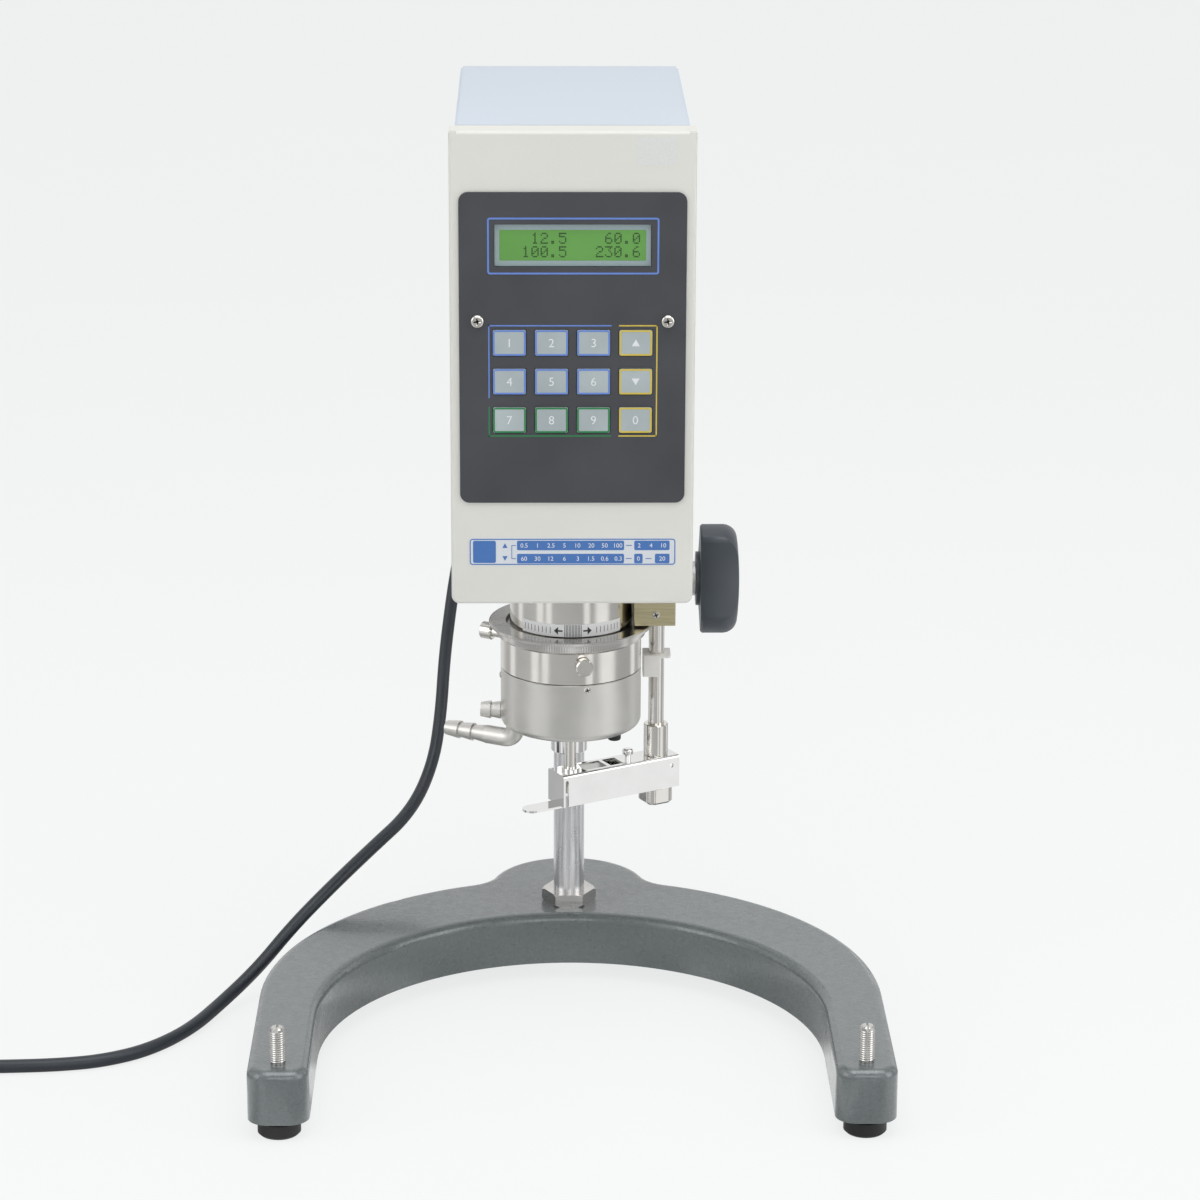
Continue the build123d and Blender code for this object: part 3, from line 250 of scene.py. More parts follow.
def hammerPaint():
    settings = {"colour": linear(110, 116, 117), "dark": 0.93, "light": 1.07, "cell": 620, "gloss": 0.3}
    material, tree, shader = startMaterial("hammer paint", settings["colour"], settings["gloss"], 0.25)
    where = coordinates(tree)
    wobble = noise(tree, where, 300, 2)
    cells = tree.nodes.new("ShaderNodeTexVoronoi")
    cells.feature = "SMOOTH_F1"
    cells.inputs["Scale"].default_value = settings["cell"]
    cells.inputs["Smoothness"].default_value = 0.6
    tree.links.new(where, cells.inputs["Vector"])
    colour = settings["colour"]
    tone = ramp(tree, cells.outputs["Distance"], [(0.1, shade(colour, settings["light"])), (0.42, colour),
                                                 (0.8, shade(colour, settings["dark"]))])
    tree.links.new(tone, shader.inputs["Base Color"])
    first = bump(tree, shader, cells.outputs["Distance"], 0.2, 0.0004)
    bump(tree, shader, wobble, 0.18, 0.0005, first)
    rough = ramp(tree, wobble, [(0.3, grey(0.22)), (0.7, grey(0.4))])
    tree.links.new(rough, shader.inputs["Roughness"])
    shader.inputs["Coat Weight"].default_value = 0.6
    shader.inputs["Coat Roughness"].default_value = 0.12
    return material


def sprayPaint(name, colour, grain=900, depth=0.25, gloss=0.42):
    # baked enamel with a fine orange peel and a trace of handling marks
    material, tree, shader = startMaterial(name, colour, gloss)
    where = coordinates(tree)
    peel = noise(tree, where, grain, 2)
    cloud = noise(tree, where, 14, 3)
    tone = ramp(tree, cloud, [(0.3, shade(colour, 0.965)), (0.7, shade(colour, 1.02))])
    tree.links.new(tone, shader.inputs["Base Color"])
    rough = ramp(tree, cloud, [(0.35, grey(gloss - 0.05)), (0.65, grey(gloss + 0.07))])
    tree.links.new(rough, shader.inputs["Roughness"])
    bump(tree, shader, peel, depth, 0.0002)
    return material


def turnedSteel(name, colour, gloss, stretch, grain=900, depth=0.12):
    # tool marks run round the axis that stretch leaves small
    material, tree, shader = startMaterial(name, colour, gloss, 1.0)
    where = coordinates(tree, stretch)
    marks = noise(tree, where, grain, 3, 0.6)
    cloud = noise(tree, coordinates(tree), 60, 2)
    tone = ramp(tree, marks, [(0.3, shade(colour, 0.86)), (0.7, shade(colour, 1.08))])
    tree.links.new(tone, shader.inputs["Base Color"])
    rough = ramp(tree, cloud, [(0.3, grey(max(gloss - 0.05, 0.03))), (0.7, grey(gloss + 0.08))])
    tree.links.new(rough, shader.inputs["Roughness"])
    bump(tree, shader, marks, depth, 0.0001)
    return material


def polished(name, colour, gloss):
    # buffed metal: clear reflections with faint clouds and hairlines in the gloss only
    material, tree, shader = startMaterial(name, colour, gloss, 1.0)
    cloud = noise(tree, coordinates(tree), 90, 3)
    tone = ramp(tree, cloud, [(0.3, shade(colour, 0.97)), (0.7, shade(colour, 1.03))])
    tree.links.new(tone, shader.inputs["Base Color"])
    hairs = noise(tree, coordinates(tree, (1, 1, 0.08)), 1500, 2)
    rough = ramp(tree, hairs, [(0.3, grey(max(gloss - 0.03, 0.02))), (0.7, grey(gloss + 0.05))])
    tree.links.new(rough, shader.inputs["Roughness"])
    bump(tree, shader, cloud, 0.02, 0.0002)
    return material


def blasted(name, colour, gloss):
    # bead-blasted metal, even and matt with a fine grain
    material, tree, shader = startMaterial(name, colour, gloss, 1.0)
    grain = noise(tree, coordinates(tree), 3600, 2)
    cloud = noise(tree, coordinates(tree), 45, 3)
    tone = ramp(tree, cloud, [(0.3, shade(colour, 0.94)), (0.7, shade(colour, 1.05))])
    tree.links.new(tone, shader.inputs["Base Color"])
    rough = ramp(tree, cloud, [(0.3, grey(gloss - 0.04)), (0.7, grey(gloss + 0.06))])
    tree.links.new(rough, shader.inputs["Roughness"])
    bump(tree, shader, grain, 0.15, 0.00008)
    return material


def mouldedPlastic(name, colour, gloss=0.45, grain=1400, depth=0.2):
    material, tree, shader = startMaterial(name, colour, gloss)
    where = coordinates(tree)
    skin = noise(tree, where, grain, 2)
    wear = noise(tree, where, 35, 3)
    tone = ramp(tree, wear, [(0.3, shade(colour, 0.9)), (0.72, shade(colour, 1.12))])
    tree.links.new(tone, shader.inputs["Base Color"])
    rough = ramp(tree, wear, [(0.3, grey(gloss - 0.06)), (0.7, grey(gloss + 0.08))])
    tree.links.new(rough, shader.inputs["Roughness"])
    bump(tree, shader, skin, depth, 0.00012)
    return material


def ink(name, colour, gloss=0.5):
    # screen print, slightly uneven where the mesh laid it down; the same dark ink also serves as painted
    # shade in the screw cuts
    material, tree, shader = startMaterial(name, colour, gloss)
    spots = noise(tree, coordinates(tree), 2500, 2)
    tone = ramp(tree, spots, [(0.25, shade(colour, 0.93)), (0.75, shade(colour, 1.04))])
    tree.links.new(tone, shader.inputs["Base Color"])
    bump(tree, shader, spots, 0.05, 0.00005)
    return material


finish = {
    "hammer": hammerPaint(),
    "cream": sprayPaint("cream enamel", linear(226, 225, 218)),
    "blueGrey": sprayPaint("blue grey enamel", linear(204, 213, 223), 1500, 0.4, 0.5),
    "mirror": polished("mirror steel", (0.80, 0.80, 0.79, 1), 0.05),
    "polish": polished("polished steel", (0.76, 0.74, 0.70, 1), 0.13),
    "turned": turnedSteel("turned steel", (0.62, 0.61, 0.59, 1), 0.2, (0.03, 0.03, 1), 2600, 0.18),
    "satin": blasted("blasted jacket", (0.70, 0.69, 0.66, 1), 0.36),
    "ground": turnedSteel("ground column", (0.80, 0.80, 0.81, 1), 0.28, (1, 1, 0.03), 2600, 0.1),
    "cast": turnedSteel("machined aluminium", (0.66, 0.66, 0.66, 1), 0.4, (1, 0.05, 1), 1500, 0.15),
    "gold": turnedSteel("gold block", linear(205, 196, 160), 0.36, (0.05, 1, 1), 1600, 0.1),
    "brass": turnedSteel("brass", (0.72, 0.53, 0.22, 1), 0.3, (0.03, 0.03, 1), 1800, 0.1),
    "spring": turnedSteel("blued spring", (0.25, 0.27, 0.34, 1), 0.25, (1, 1, 0.1), 1500, 0.08),
    "knob": mouldedPlastic("knob plastic", linear(70, 76, 83), 0.36, 900, 0.2),
    "film": mouldedPlastic("front film", linear(66, 68, 73), 0.5, 2200, 0.15),
    "keyFilm": mouldedPlastic("key film", linear(172, 182, 184), 0.5, 2200, 0.12),
    "pale": mouldedPlastic("pale plastic", linear(232, 230, 226), 0.4, 1200, 0.1),
    "black": mouldedPlastic("black plastic", linear(30, 30, 32), 0.35, 1200, 0.15),
    "rubber": mouldedPlastic("black rubber", linear(26, 26, 27), 0.55, 1300, 0.3),
    "cordSkin": mouldedPlastic("cord sheath", linear(44, 50, 56), 0.4, 800, 0.12),
    "board": mouldedPlastic("board lacquer", linear(38, 92, 52), 0.3, 700, 0.1),
    "inkBlue": ink("blue ink", linear(104, 138, 214)),
    "inkGreen": ink("green ink", linear(40, 132, 76)),
    "inkYellow": ink("yellow ink", linear(214, 190, 76)),
    "inkWhite": ink("white ink", linear(232, 234, 236)),
    "stripBlue": ink("strip blue", linear(70, 118, 186)),
    "stripWhite": ink("strip film", linear(222, 226, 230), 0.35),
    "badge": ink("badge film", linear(226, 227, 224), 0.3),
    "bezel": ink("window edge", linear(160, 178, 180), 0.35),
    "dark": ink("display dots", linear(30, 62, 26), 0.4),
    "scaleInk": ink("scale ink", linear(40, 40, 44)),
    "scaleFilm": ink("scale film", linear(250, 250, 250), 0.4),
    # painted shade: near-black for the inside of the screws' cross recesses
    "screwCutShade": ink("screw cut shade", linear(34, 34, 36), 0.5),
}


def displayGlow():
    # backlit green, with a faint random cloud in its tone
    settings = {"colour": linear(96, 150, 74), "glow": 0.18}
    material, tree, shader = startMaterial("display green", settings["colour"], 0.25)
    cloud = noise(tree, coordinates(tree), 30, 1)
    tone = ramp(tree, cloud, [(0.3, shade(settings["colour"], 0.92)), (0.7, shade(settings["colour"], 1.1))])
    tree.links.new(tone, shader.inputs["Base Color"])
    shader.inputs["Emission Color"].default_value = settings["colour"]
    shader.inputs["Emission Strength"].default_value = settings["glow"]
    return material


finish["display"] = displayGlow()

dress = {
    "hammer": ["base_casting"],
    "ground": ["column"],
    "turned": ["column_nuts", "adjust_ring", "levelling_screw_left", "levelling_screw_right", "sample_cup"],
    "polish": ["neck", "cup_ring", "clamp_rod", "support_pin", "thumb_screws", "panel_screws", "rod_nut",
               "arm_bush"],
    "mirror": ["guide_tube", "clamp_arm", "cone_rotor", "spindle_shaft", "spindle_bearings"],
    "satin": ["cup_jacket", "hose_nozzles", "pinion_shaft", "power_supply", "motor"],
    "rubber": ["rear_foot", "foot_pad_left", "foot_pad_right", "cup_plug", "power_cord", "cord_coil"],
    "cast": ["elevator_block", "chassis"],
    "knob": ["lift_knob"],
    "cream": ["front_panel"],
    "blueGrey": ["rear_cover"],
    "film": ["front_plate"],
    "keyFilm": ["key_" + str(number) for number in range(1, 13)],
    "bezel": ["display_module"],
    "board": ["circuit_board"],
    "black": ["cord_bushing", "switch_frame", "switch_rocker", "power_plug"],
    "brass": ["motor_pinion", "drive_gear"],
    "spring": ["torsion_spring"],
    "gold": ["rod_block"],
    "pale": ["rod_clip"],
}
for coat, names in dress.items():
    for name in names:
        mesh = nodes[name].data
        mesh.materials.clear()
        mesh.materials.append(finish[coat])
print("finishes on", sum(len(names) for names in dress.values()), "pieces")


view = {"place": (-15.68, -1644.87, 704.38), "yaw": 0.996, "pitch": 17.0, "roll": 0.226, "lens": 116.79}


def setCamera():
    yaw, pitch, roll = (math.radians(view[key]) for key in ("yaw", "pitch", "roll"))
    ahead = Vector((math.sin(yaw), math.cos(yaw), 0))
    side = Vector((math.cos(yaw), -math.sin(yaw), 0))
    forward = ahead * math.cos(pitch) - Vector((0, 0, math.sin(pitch)))
    up = ahead * math.sin(pitch) + Vector((0, 0, math.cos(pitch)))
    right = side * math.cos(roll) + up * math.sin(roll)
    upright = up * math.cos(roll) - side * math.sin(roll)
    lens = bpy.data.cameras.new("camera")
    lens.lens = view["lens"]
    lens.sensor_width = 36
    lens.sensor_fit = "HORIZONTAL"
    lens.clip_start = 0.05
    lens.clip_end = 50
    camera = bpy.data.objects.new("camera", lens)
    scene.collection.objects.link(camera)
    turn = Matrix((right, upright, -forward)).transposed().to_4x4()
    camera.matrix_world = Matrix.Translation(mm(*view["place"])) @ turn
    scene.camera = camera


def seenRay(tree):
    # 1 where a camera, mirror or glass ray arrives
    path = tree.nodes.new("ShaderNodeLightPath")
    first = tree.nodes.new("ShaderNodeMath")
    first.operation = "MAXIMUM"
    second = tree.nodes.new("ShaderNodeMath")
    second.operation = "MAXIMUM"
    tree.links.new(path.outputs["Is Camera Ray"], first.inputs[0])
    tree.links.new(path.outputs["Is Glossy Ray"], first.inputs[1])
    tree.links.new(first.outputs[0], second.inputs[0])
    tree.links.new(path.outputs["Is Transmission Ray"], second.inputs[1])
    return path, second.outputs[0]


studio = {
    "key": 10.2, "side": 4.5, "front": 4.8,
    "fill": 0.42,  # strength of the plain room light
    "room": (0.97, 0.985, 1.0, 1),
    "backdrop": (0.935, 0.95, 0.945, 1),
    "flags": 1.1,  # strength of what metal mirrors
    # where the narrow windows stand round the object and their half width; 0.5 is the camera's side
    "windows": [(0.2, 0.012), (0.335, 0.012), (0.385, 0.01), (0.58, 0.01), (0.665, 0.026), (0.83, 0.012)],
    "leftFlag": 0.46, "rightFlag": 0.36,
    "tableGlow": (0.97, 0.985, 0.98, 1), "tableShare": 0.8,
}


def windowFlags(tree, vector):
    split = tree.nodes.new("ShaderNodeSeparateXYZ")
    tree.links.new(vector, split.inputs[0])
    # narrow windows and grey flags all round, seen by metal alone
    turn = tree.nodes.new("ShaderNodeMath")
    turn.operation = "ARCTAN2"
    flip = tree.nodes.new("ShaderNodeMath")
    flip.operation = "MULTIPLY"
    flip.inputs[1].default_value = -1.0
    tree.links.new(split.outputs[1], flip.inputs[0])
    tree.links.new(split.outputs[0], turn.inputs[0])
    tree.links.new(flip.outputs[0], turn.inputs[1])
    spread = tree.nodes.new("ShaderNodeMapRange")
    spread.inputs["From Min"].default_value = -math.pi
    spread.inputs["From Max"].default_value = math.pi
    tree.links.new(turn.outputs[0], spread.inputs["Value"])
    stops = [(0.0, grey(0.85)), (0.1, grey(0.75)), (0.15, grey(0.42))]
    for middle, half in studio["windows"]:
        dull = grey(studio["rightFlag"] if middle > 0.5 else studio["leftFlag"])
        stops += [(middle - 2 * half, dull), (middle - half, grey(1.0))]
        stops += [(middle + half, grey(1.0)), (middle + 2 * half, dull)]
    stops += [(0.88, grey(0.42)), (0.92, grey(0.75)), (1.0, grey(0.85))]
    return ramp(tree, spread.outputs[0], stops)


def setWorld():
    world = bpy.data.worlds.new("studio")
    world.use_nodes = True
    scene.world = world
    tree = world.node_tree
    tree.nodes.clear()
    output = tree.nodes.new("ShaderNodeOutputWorld")
    path, seen = seenRay(tree)
    source = tree.nodes.new("ShaderNodeTexCoord")
    flags = windowFlags(tree, source.outputs["Generated"])
    mirrorLight = tree.nodes.new("ShaderNodeBackground")
    mirrorLight.inputs[1].default_value = studio["flags"]
    tree.links.new(flags, mirrorLight.inputs[0])
    backdrop = tree.nodes.new("ShaderNodeBackground")
    backdrop.inputs[0].default_value = studio["backdrop"]
    room = tree.nodes.new("ShaderNodeBackground")
    room.inputs[0].default_value = studio["room"]
    room.inputs[1].default_value = studio["fill"]
    glossy = tree.nodes.new("ShaderNodeMixShader")
    tree.links.new(path.outputs["Is Glossy Ray"], glossy.inputs[0])
    tree.links.new(backdrop.outputs[0], glossy.inputs[1])
    tree.links.new(mirrorLight.outputs[0], glossy.inputs[2])
    mix = tree.nodes.new("ShaderNodeMixShader")
    tree.links.new(seen, mix.inputs[0])
    tree.links.new(room.outputs[0], mix.inputs[1])
    tree.links.new(glossy.outputs[0], mix.inputs[2])
    tree.links.new(mix.outputs[0], output.inputs[0])


def addLamp(name, place, target, size, power):
    lamp = bpy.data.lights.new(name, "AREA")
    lamp.shape = "RECTANGLE"
    lamp.size, lamp.size_y = size
    lamp.energy = power
    holder = bpy.data.objects.new(name, lamp)
    scene.collection.objects.link(holder)
    away = Vector(place) - Vector(target)
    holder.matrix_world = pointing(Vector(place), away)


def setTable():
    bm = bmesh.new()
    bmesh.ops.create_grid(bm, x_segments=8, y_segments=8, size=6.0)
    material, tree, shader = startMaterial("table", (0.86, 0.875, 0.88, 1), 0.6)
    grain = noise(tree, coordinates(tree), 6, 2)
    tone = ramp(tree, grain, [(0.3, (0.845, 0.862, 0.87, 1)), (0.7, (0.87, 0.885, 0.89, 1))])
    tree.links.new(tone, shader.inputs["Base Color"])
    path, seen = seenRay(tree)
    lit = tree.nodes.new("ShaderNodeEmission")
    lit.inputs[0].default_value = studio["tableGlow"]
    # metal sees the same windows and flags past the table's edge
    place = tree.nodes.new("ShaderNodeTexCoord")
    mirrored = tree.nodes.new("ShaderNodeEmission")
    tree.links.new(windowFlags(tree, place.outputs["Object"]), mirrored.inputs[0])
    seenBy = tree.nodes.new("ShaderNodeMixShader")
    tree.links.new(path.outputs["Is Glossy Ray"], seenBy.inputs[0])
    tree.links.new(lit.outputs[0], seenBy.inputs[1])
    tree.links.new(mirrored.outputs[0], seenBy.inputs[2])
    share = tree.nodes.new("ShaderNodeMath")
    share.operation = "MULTIPLY"
    share.inputs[1].default_value = studio["tableShare"]
    tree.links.new(seen, share.inputs[0])
    mix = tree.nodes.new("ShaderNodeMixShader")
    tree.links.new(share.outputs[0], mix.inputs[0])
    tree.links.new(shader.outputs[0], mix.inputs[1])
    tree.links.new(seenBy.outputs[0], mix.inputs[2])
    output = next(node for node in tree.nodes if node.type == "OUTPUT_MATERIAL")
    tree.links.new(mix.outputs[0], output.inputs[0])
    floor = meshObject("table", bm, material)


setCamera()
setWorld()
addLamp("top box", (0.1, -0.3, 1.5), (0, 0, 0.25), (1.3, 1.1), studio["key"])
addLamp("left box", (-1.4, -0.6, 0.8), (0, 0, 0.25), (0.9, 1.2), studio["side"])
addLamp("right box", (1.4, -0.5, 0.7), (0, 0, 0.25), (0.9, 1.2), studio["side"])
addLamp("front box", (0.2, -1.9, 0.9), (0, 0, 0.25), (1.2, 0.9), studio["front"])
setTable()
print("camera, light and table set")


cordSizes = {"diameter": 0.006, "coilAcross": -314.0, "coilBack": -16.0}


def cordRoute():
    return [
        (-34, 127, 240), (-34, 145, 240), (-37, 166, 231), (-42.5, 177, 211), (-49, 177, 187),
        (-54, 172, 165), (-57, 166, 146), (-60, 161, 122), (-61.5, 150, 99), (-65, 134, 78), (-75, 110, 62),
        (-94, 85, 52), (-112, 62, 41.5), (-129, 46, 28.5), (-144, 30, 14.5), (-159, 12, 5.5), (-172, -15, 3),
        (-189, -38, 3), (-208, -49.5, 3), (-226, -53.5, 3), (-245, -55, 3), (-264, -55.5, 3), (-283, -55, 3),
        (-300, -53.5, 3),
    ]


def coilTurns():
    # three turns abreast on the table, then three on top of them, wound clockwise
    x, y = cordSizes["coilAcross"], cordSizes["coilBack"]
    pitch = cordSizes["diameter"] * 1000
    perTurn = 14
    radii = [39.4, 33.3, 27.2, 27.4, 33.4, 39.4]
    points = []
    total = int(perTurn * 6.25)
    for step in range(2, total):
        turn = step / perTurn
        index = min(int(turn), 5)
        within = turn - index
        radius = radii[index]
        if index < 5 and within > 0.72:
            radius += (radii[index + 1] - radius) * (within - 0.72) / 0.28
        height = 3.0
        if turn > 2.6:
            height = 3.0 + pitch * min((turn - 2.6) / 0.5, 1.0)
        angle = math.radians(-90) - 2 * math.pi * turn
        points.append((x + radius * math.cos(angle), y + radius * math.sin(angle), height))
    return points


def leadRoute():
    x, y = cordSizes["coilAcross"], cordSizes["coilBack"]
    return [(x - 42.5, y + 15, 9), (x - 43.4, y + 34.3, 9)]


def splineThrough(points):
    curve = bpy.data.curves.new("cordLine", "CURVE")
    curve.dimensions = "3D"
    curve.resolution_u = 10
    spline = curve.splines.new("NURBS")
    spline.points.add(len(points) - 1)
    for point, place in zip(spline.points, points):
        point.co = (place[0] / 1000, place[1] / 1000, place[2] / 1000, 1)
    spline.order_u = 3
    spline.use_endpoint_u = True
    holder = bpy.data.objects.new("cordLine", curve)
    scene.collection.objects.link(holder)
    bpy.context.view_layer.update()
    mesh = bpy.data.meshes.new_from_object(holder)
    line = [vert.co.copy() for vert in mesh.vertices]
    bpy.data.objects.remove(holder)
    bpy.data.meshes.remove(mesh)
    return line


def tubeAlong(name, line, radius, material, sides=14):
    bm = bmesh.new()
    side = Vector((1, 0, 0))
    rings = []
    for index, here in enumerate(line):
        before = line[max(index - 1, 0)]
        after = line[min(index + 1, len(line) - 1)]
        along = (after - before).normalized()
        side = (side - along * side.dot(along)).normalized()
        other = along.cross(side)
        ring = []
        for step in range(sides):
            angle = 2 * math.pi * step / sides
            ring.append(bm.verts.new(here + (side * math.cos(angle) + other * math.sin(angle)) * radius))
        rings.append(ring)
    for first, second in zip(rings, rings[1:]):
        for step in range(sides):
            following = (step + 1) % sides
            bm.faces.new((first[step], first[following], second[following], second[step]))
    bm.faces.new(list(reversed(rings[0])))
    bm.faces.new(rings[-1])
    return meshObject(name, bm, material, 60)


plugSizes = {
    "front": 45.0,  # from the cord's end to the moulded body's front
    "blade": (18.1, 1.6, 6.4), "apart": 6.35, "rise": 1.5,
    "pin": 2.45, "pinDrop": 4.6, "pinLength": 18.55,
}


def plugBlades():
    # bright blades and earth pin over the moulded plug's own
    before, end = leadRoute()
    along = (mm(*end) - mm(*before)).normalized()
    across = Vector((-along.y, along.x, 0))
    axes = Matrix((along, across, Vector((0, 0, 1)))).transposed().to_4x4()
    place = Matrix.Translation(mm(*end)) @ axes
    front = plugSizes["front"]
    bm = bmesh.new()
    long, thick, tall = plugSizes["blade"]
    for side in (-1, 1):
        made = bmesh.ops.create_cube(bm, size=1.0)
        for vert in made["verts"]:
            local = mm(vert.co.x * long + front + long / 2 - 0.5,
                       vert.co.y * thick + side * plugSizes["apart"],
                       vert.co.z * tall + plugSizes["rise"])
            vert.co = place @ local
    pinPlace = place @ Matrix.Translation(mm(front - 0.3, 0, -plugSizes["pinDrop"]))
    radius, length = plugSizes["pin"] / 1000, plugSizes["pinLength"] / 1000 + 0.0003
    profile = [(0, 0), (radius, 0), (radius, length - 0.001), (radius * 0.7, length), (0, length)]
    addLathe(bm, profile, pinPlace @ Matrix.Rotation(math.radians(90), 4, "Y"), 20)
    piece = meshObject("plug_blades", bm, finish["polish"], 35)
    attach(piece, "stand")
    return piece


def makeCord():
    line = splineThrough(cordRoute() + coilTurns() + leadRoute())
    cord = tubeAlong("mains_cord", line, cordSizes["diameter"] / 2, finish["cordSkin"])
    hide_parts("power_cord", "cord_coil")
    plugBlades()
    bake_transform(cord)


makeCord()
print("cord laid")


front = {"face": -60.9, "bottom": 218.0, "keyFace": -61.2, "line": 0.55}


def height(h):
    return front["bottom"] + h


def printOn(name, bm, coat, body="head"):
    piece = meshObject(name, bm, finish[coat])
    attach(piece, body)
    return piece


def platePrints():
    y = front["face"]
    blue = bmesh.new()
    addRing(blue, 71.3, 23.9, 1.2, 0.75, 0.2, height(155.25), y)
    addStrip(blue, [(-34.9, height(90.7)), (-34.9, height(121.5)), (16.0, height(121.5))], front["line"], y)
    printOn("blue_lines", blue, "inkBlue")
    green = bmesh.new()
    addStrip(green, [(-34.9, height(86.4)), (-34.9, height(74.1)), (16.0, height(74.1))], front["line"], y)
    printOn("green_lines", green, "inkGreen")
    yellow = bmesh.new()
    bracket = [(19.6, height(121.5)), (35.2, height(121.5)), (35.2, height(74.1)), (19.6, height(74.1))]
    addStrip(yellow, bracket, front["line"], y)
    printOn("yellow_lines", yellow, "inkYellow")


keySizes = {"width": 13.8, "height": 11.0, "pitchX": 17.6, "pitchZ": 16.6, "topRow": 114.2}


def keyPrints():
    rims = (["inkBlue"] * 3 + ["inkYellow"]) * 2 + ["inkGreen"] * 3 + ["inkYellow"]
    signs = ["1", "2", "3", "up", "4", "5", "6", "down", "7", "8", "9", "0"]
    y = front["keyFace"]
    for number in range(12):
        row, column = divmod(number, 4)
        x = (column - 1.5) * keySizes["pitchX"]
        z = height(keySizes["topRow"] - row * keySizes["pitchZ"])
        rim = bmesh.new()
        addRing(rim, keySizes["width"] - 0.1, keySizes["height"] - 0.1, 1.1, 0.75, x, z, y)
        body = "key_" + str(number + 1) + "_body"
        printOn("key_rim_" + str(number + 1), rim, rims[number], body)
        legend = bmesh.new()
        if signs[number] == "up":
            addPrint(legend, [[(x - 1.7, z - 1.4), (x + 1.7, z - 1.4), (x, z + 1.5)]], y)
        elif signs[number] == "down":
            addPrint(legend, [[(x - 1.7, z + 1.4), (x, z - 1.5), (x + 1.7, z + 1.4)]], y)
        else:
            addWords(legend, signs[number], 5.2, x, z, y)
        printOn("key_sign_" + str(number + 1), legend, "inkWhite", body)


displaySizes = {"width": 60.8, "height": 12.9, "middle": 155.3, "face": -59.4}
dotRows = {
    "0": "01110 10001 10011 10101 11001 10001 01110", "1": "00100 01100 00100 00100 00100 00100 01110",
    "2": "01110 10001 00001 00110 01000 10000 11111", "5": "11111 10000 11110 00001 00001 10001 01110",
    "6": "00110 01000 10000 11110 10001 10001 01110", "3": "11111 00010 00100 00010 00001 10001 01110",
    ".": "00000 00000 00000 00000 00000 01100 01100",
}


def displayFace():
    y = displaySizes["face"]
    z = height(displaySizes["middle"])
    glass = bmesh.new()
    addPrint(glass, [roundedRect(displaySizes["width"], displaySizes["height"], 0.4, 0, z)], y, 0.1)
    printOn("display_glass", glass, "display", "head")
    dots = bmesh.new()
    cell = 0.62
    for row, words in enumerate(("   12.5    60.0", "  100.5   230.6")):
        for place, sign in enumerate(words):
            if sign not in dotRows:
                continue
            left = -28.6 + place * 3.82
            top = z + 5.3 - row * 5.7
            for line, bits in enumerate(dotRows[sign].split()):
                for column, bit in enumerate(bits):
                    if bit == "1":
                        x0 = left + column * cell
                        z0 = top - line * cell * 1.1
                        square = [(x0, z0 - 0.56), (x0 + 0.55, z0 - 0.56), (x0 + 0.55, z0), (x0, z0)]
                        addPrint(dots, [square], y - 0.1, 0.03)
    printOn("display_dots", dots, "dark", "head")


stripSizes = {"left": -43.8, "right": 44.1, "low": 17.1, "high": 29.3}


def speedStrip():
    y = -60.0
    low, high = height(stripSizes["low"]), height(stripSizes["high"])
    width = stripSizes["right"] - stripSizes["left"]
    middle = (low + high) / 2
    centre = (stripSizes["right"] + stripSizes["left"]) / 2
    base = bmesh.new()
    addPrint(base, [roundedRect(width, high - low, 1.6, centre, middle)], y, 0.12)
    printOn("strip_film", base, "stripWhite", "head")
    blue = bmesh.new()
    face = y - 0.12
    addRing(blue, width - 0.7, high - low - 0.7, 1.3, 0.45, centre, middle, face)
    addPrint(blue, [roundedRect(9.7, 9.8, 0.8, -37.2, middle)], face)
    for z in (26.0, 20.2):
        addPrint(blue, [roundedRect(45.4, 4.2, 0.6, -0.7, height(z))], face)
    addPrint(blue, [roundedRect(15.0, 4.2, 0.6, 33.8, height(26.0))], face)
    addPrint(blue, [roundedRect(3.6, 4.2, 0.6, 28.1, height(20.2))], face)
    addPrint(blue, [roundedRect(6.2, 4.2, 0.6, 38.2, height(20.2))], face)
    addPrint(blue, [[(-29.6, height(24.9)), (-27.4, height(24.9)), (-28.5, height(27.0))]], face)
    addPrint(blue, [[(-29.6, height(21.3)), (-28.5, height(19.2)), (-27.4, height(21.3))]], face)
    bracket = [(-24.0, height(26.0)), (-25.6, height(26.0)), (-25.6, height(20.2)), (-24.0, height(20.2))]
    addStrip(blue, bracket, 0.3, face)
    for x, z in ((24.0, 26.0), (24.0, 20.2), (32.4, 20.2)):
        addStrip(blue, [(x - 1.1, height(z)), (x + 1.1, height(z))], 0.35, face)
    printOn("strip_blue", blue, "stripBlue", "head")
    white = bmesh.new()
    over = face - 0.05
    upper = ["0.5", "1", "2.5", "5", "10", "20", "50", "100"]
    lower = ["60", "30", "12", "6", "3", "1.5", "0.6", "0.3"]
    for index in range(8):
        x = -20.4 + index * 5.7
        addWords(white, upper[index], 2.7, x, height(26.0), over, 0.02)
        addWords(white, lower[index], 2.7, x, height(20.2), over, 0.02)
    for x, words in ((28.4, "2"), (33.4, "4"), (38.8, "10")):
        addWords(white, words, 2.7, x, height(26.0), over, 0.02)
    addWords(white, "0", 2.7, 28.1, height(20.2), over, 0.02)
    addWords(white, "20", 2.7, 38.2, height(20.2), over, 0.02)
    printOn("strip_numbers", white, "inkWhite", "head")
    badge = bmesh.new()
    addPrint(badge, [roundedRect(16.6, 11.6, 1.4, 34.7, height(194.9))], y, 0.12)
    printOn("plain_badge", badge, "badge", "head")


platePrints()
keyPrints()
displayFace()
speedStrip()
print("front prints done")

cupSizes = {"axisY": -8.0, "neck": 26.85, "flange": 35.85, "band": 32.5, "jacket": 31.0}


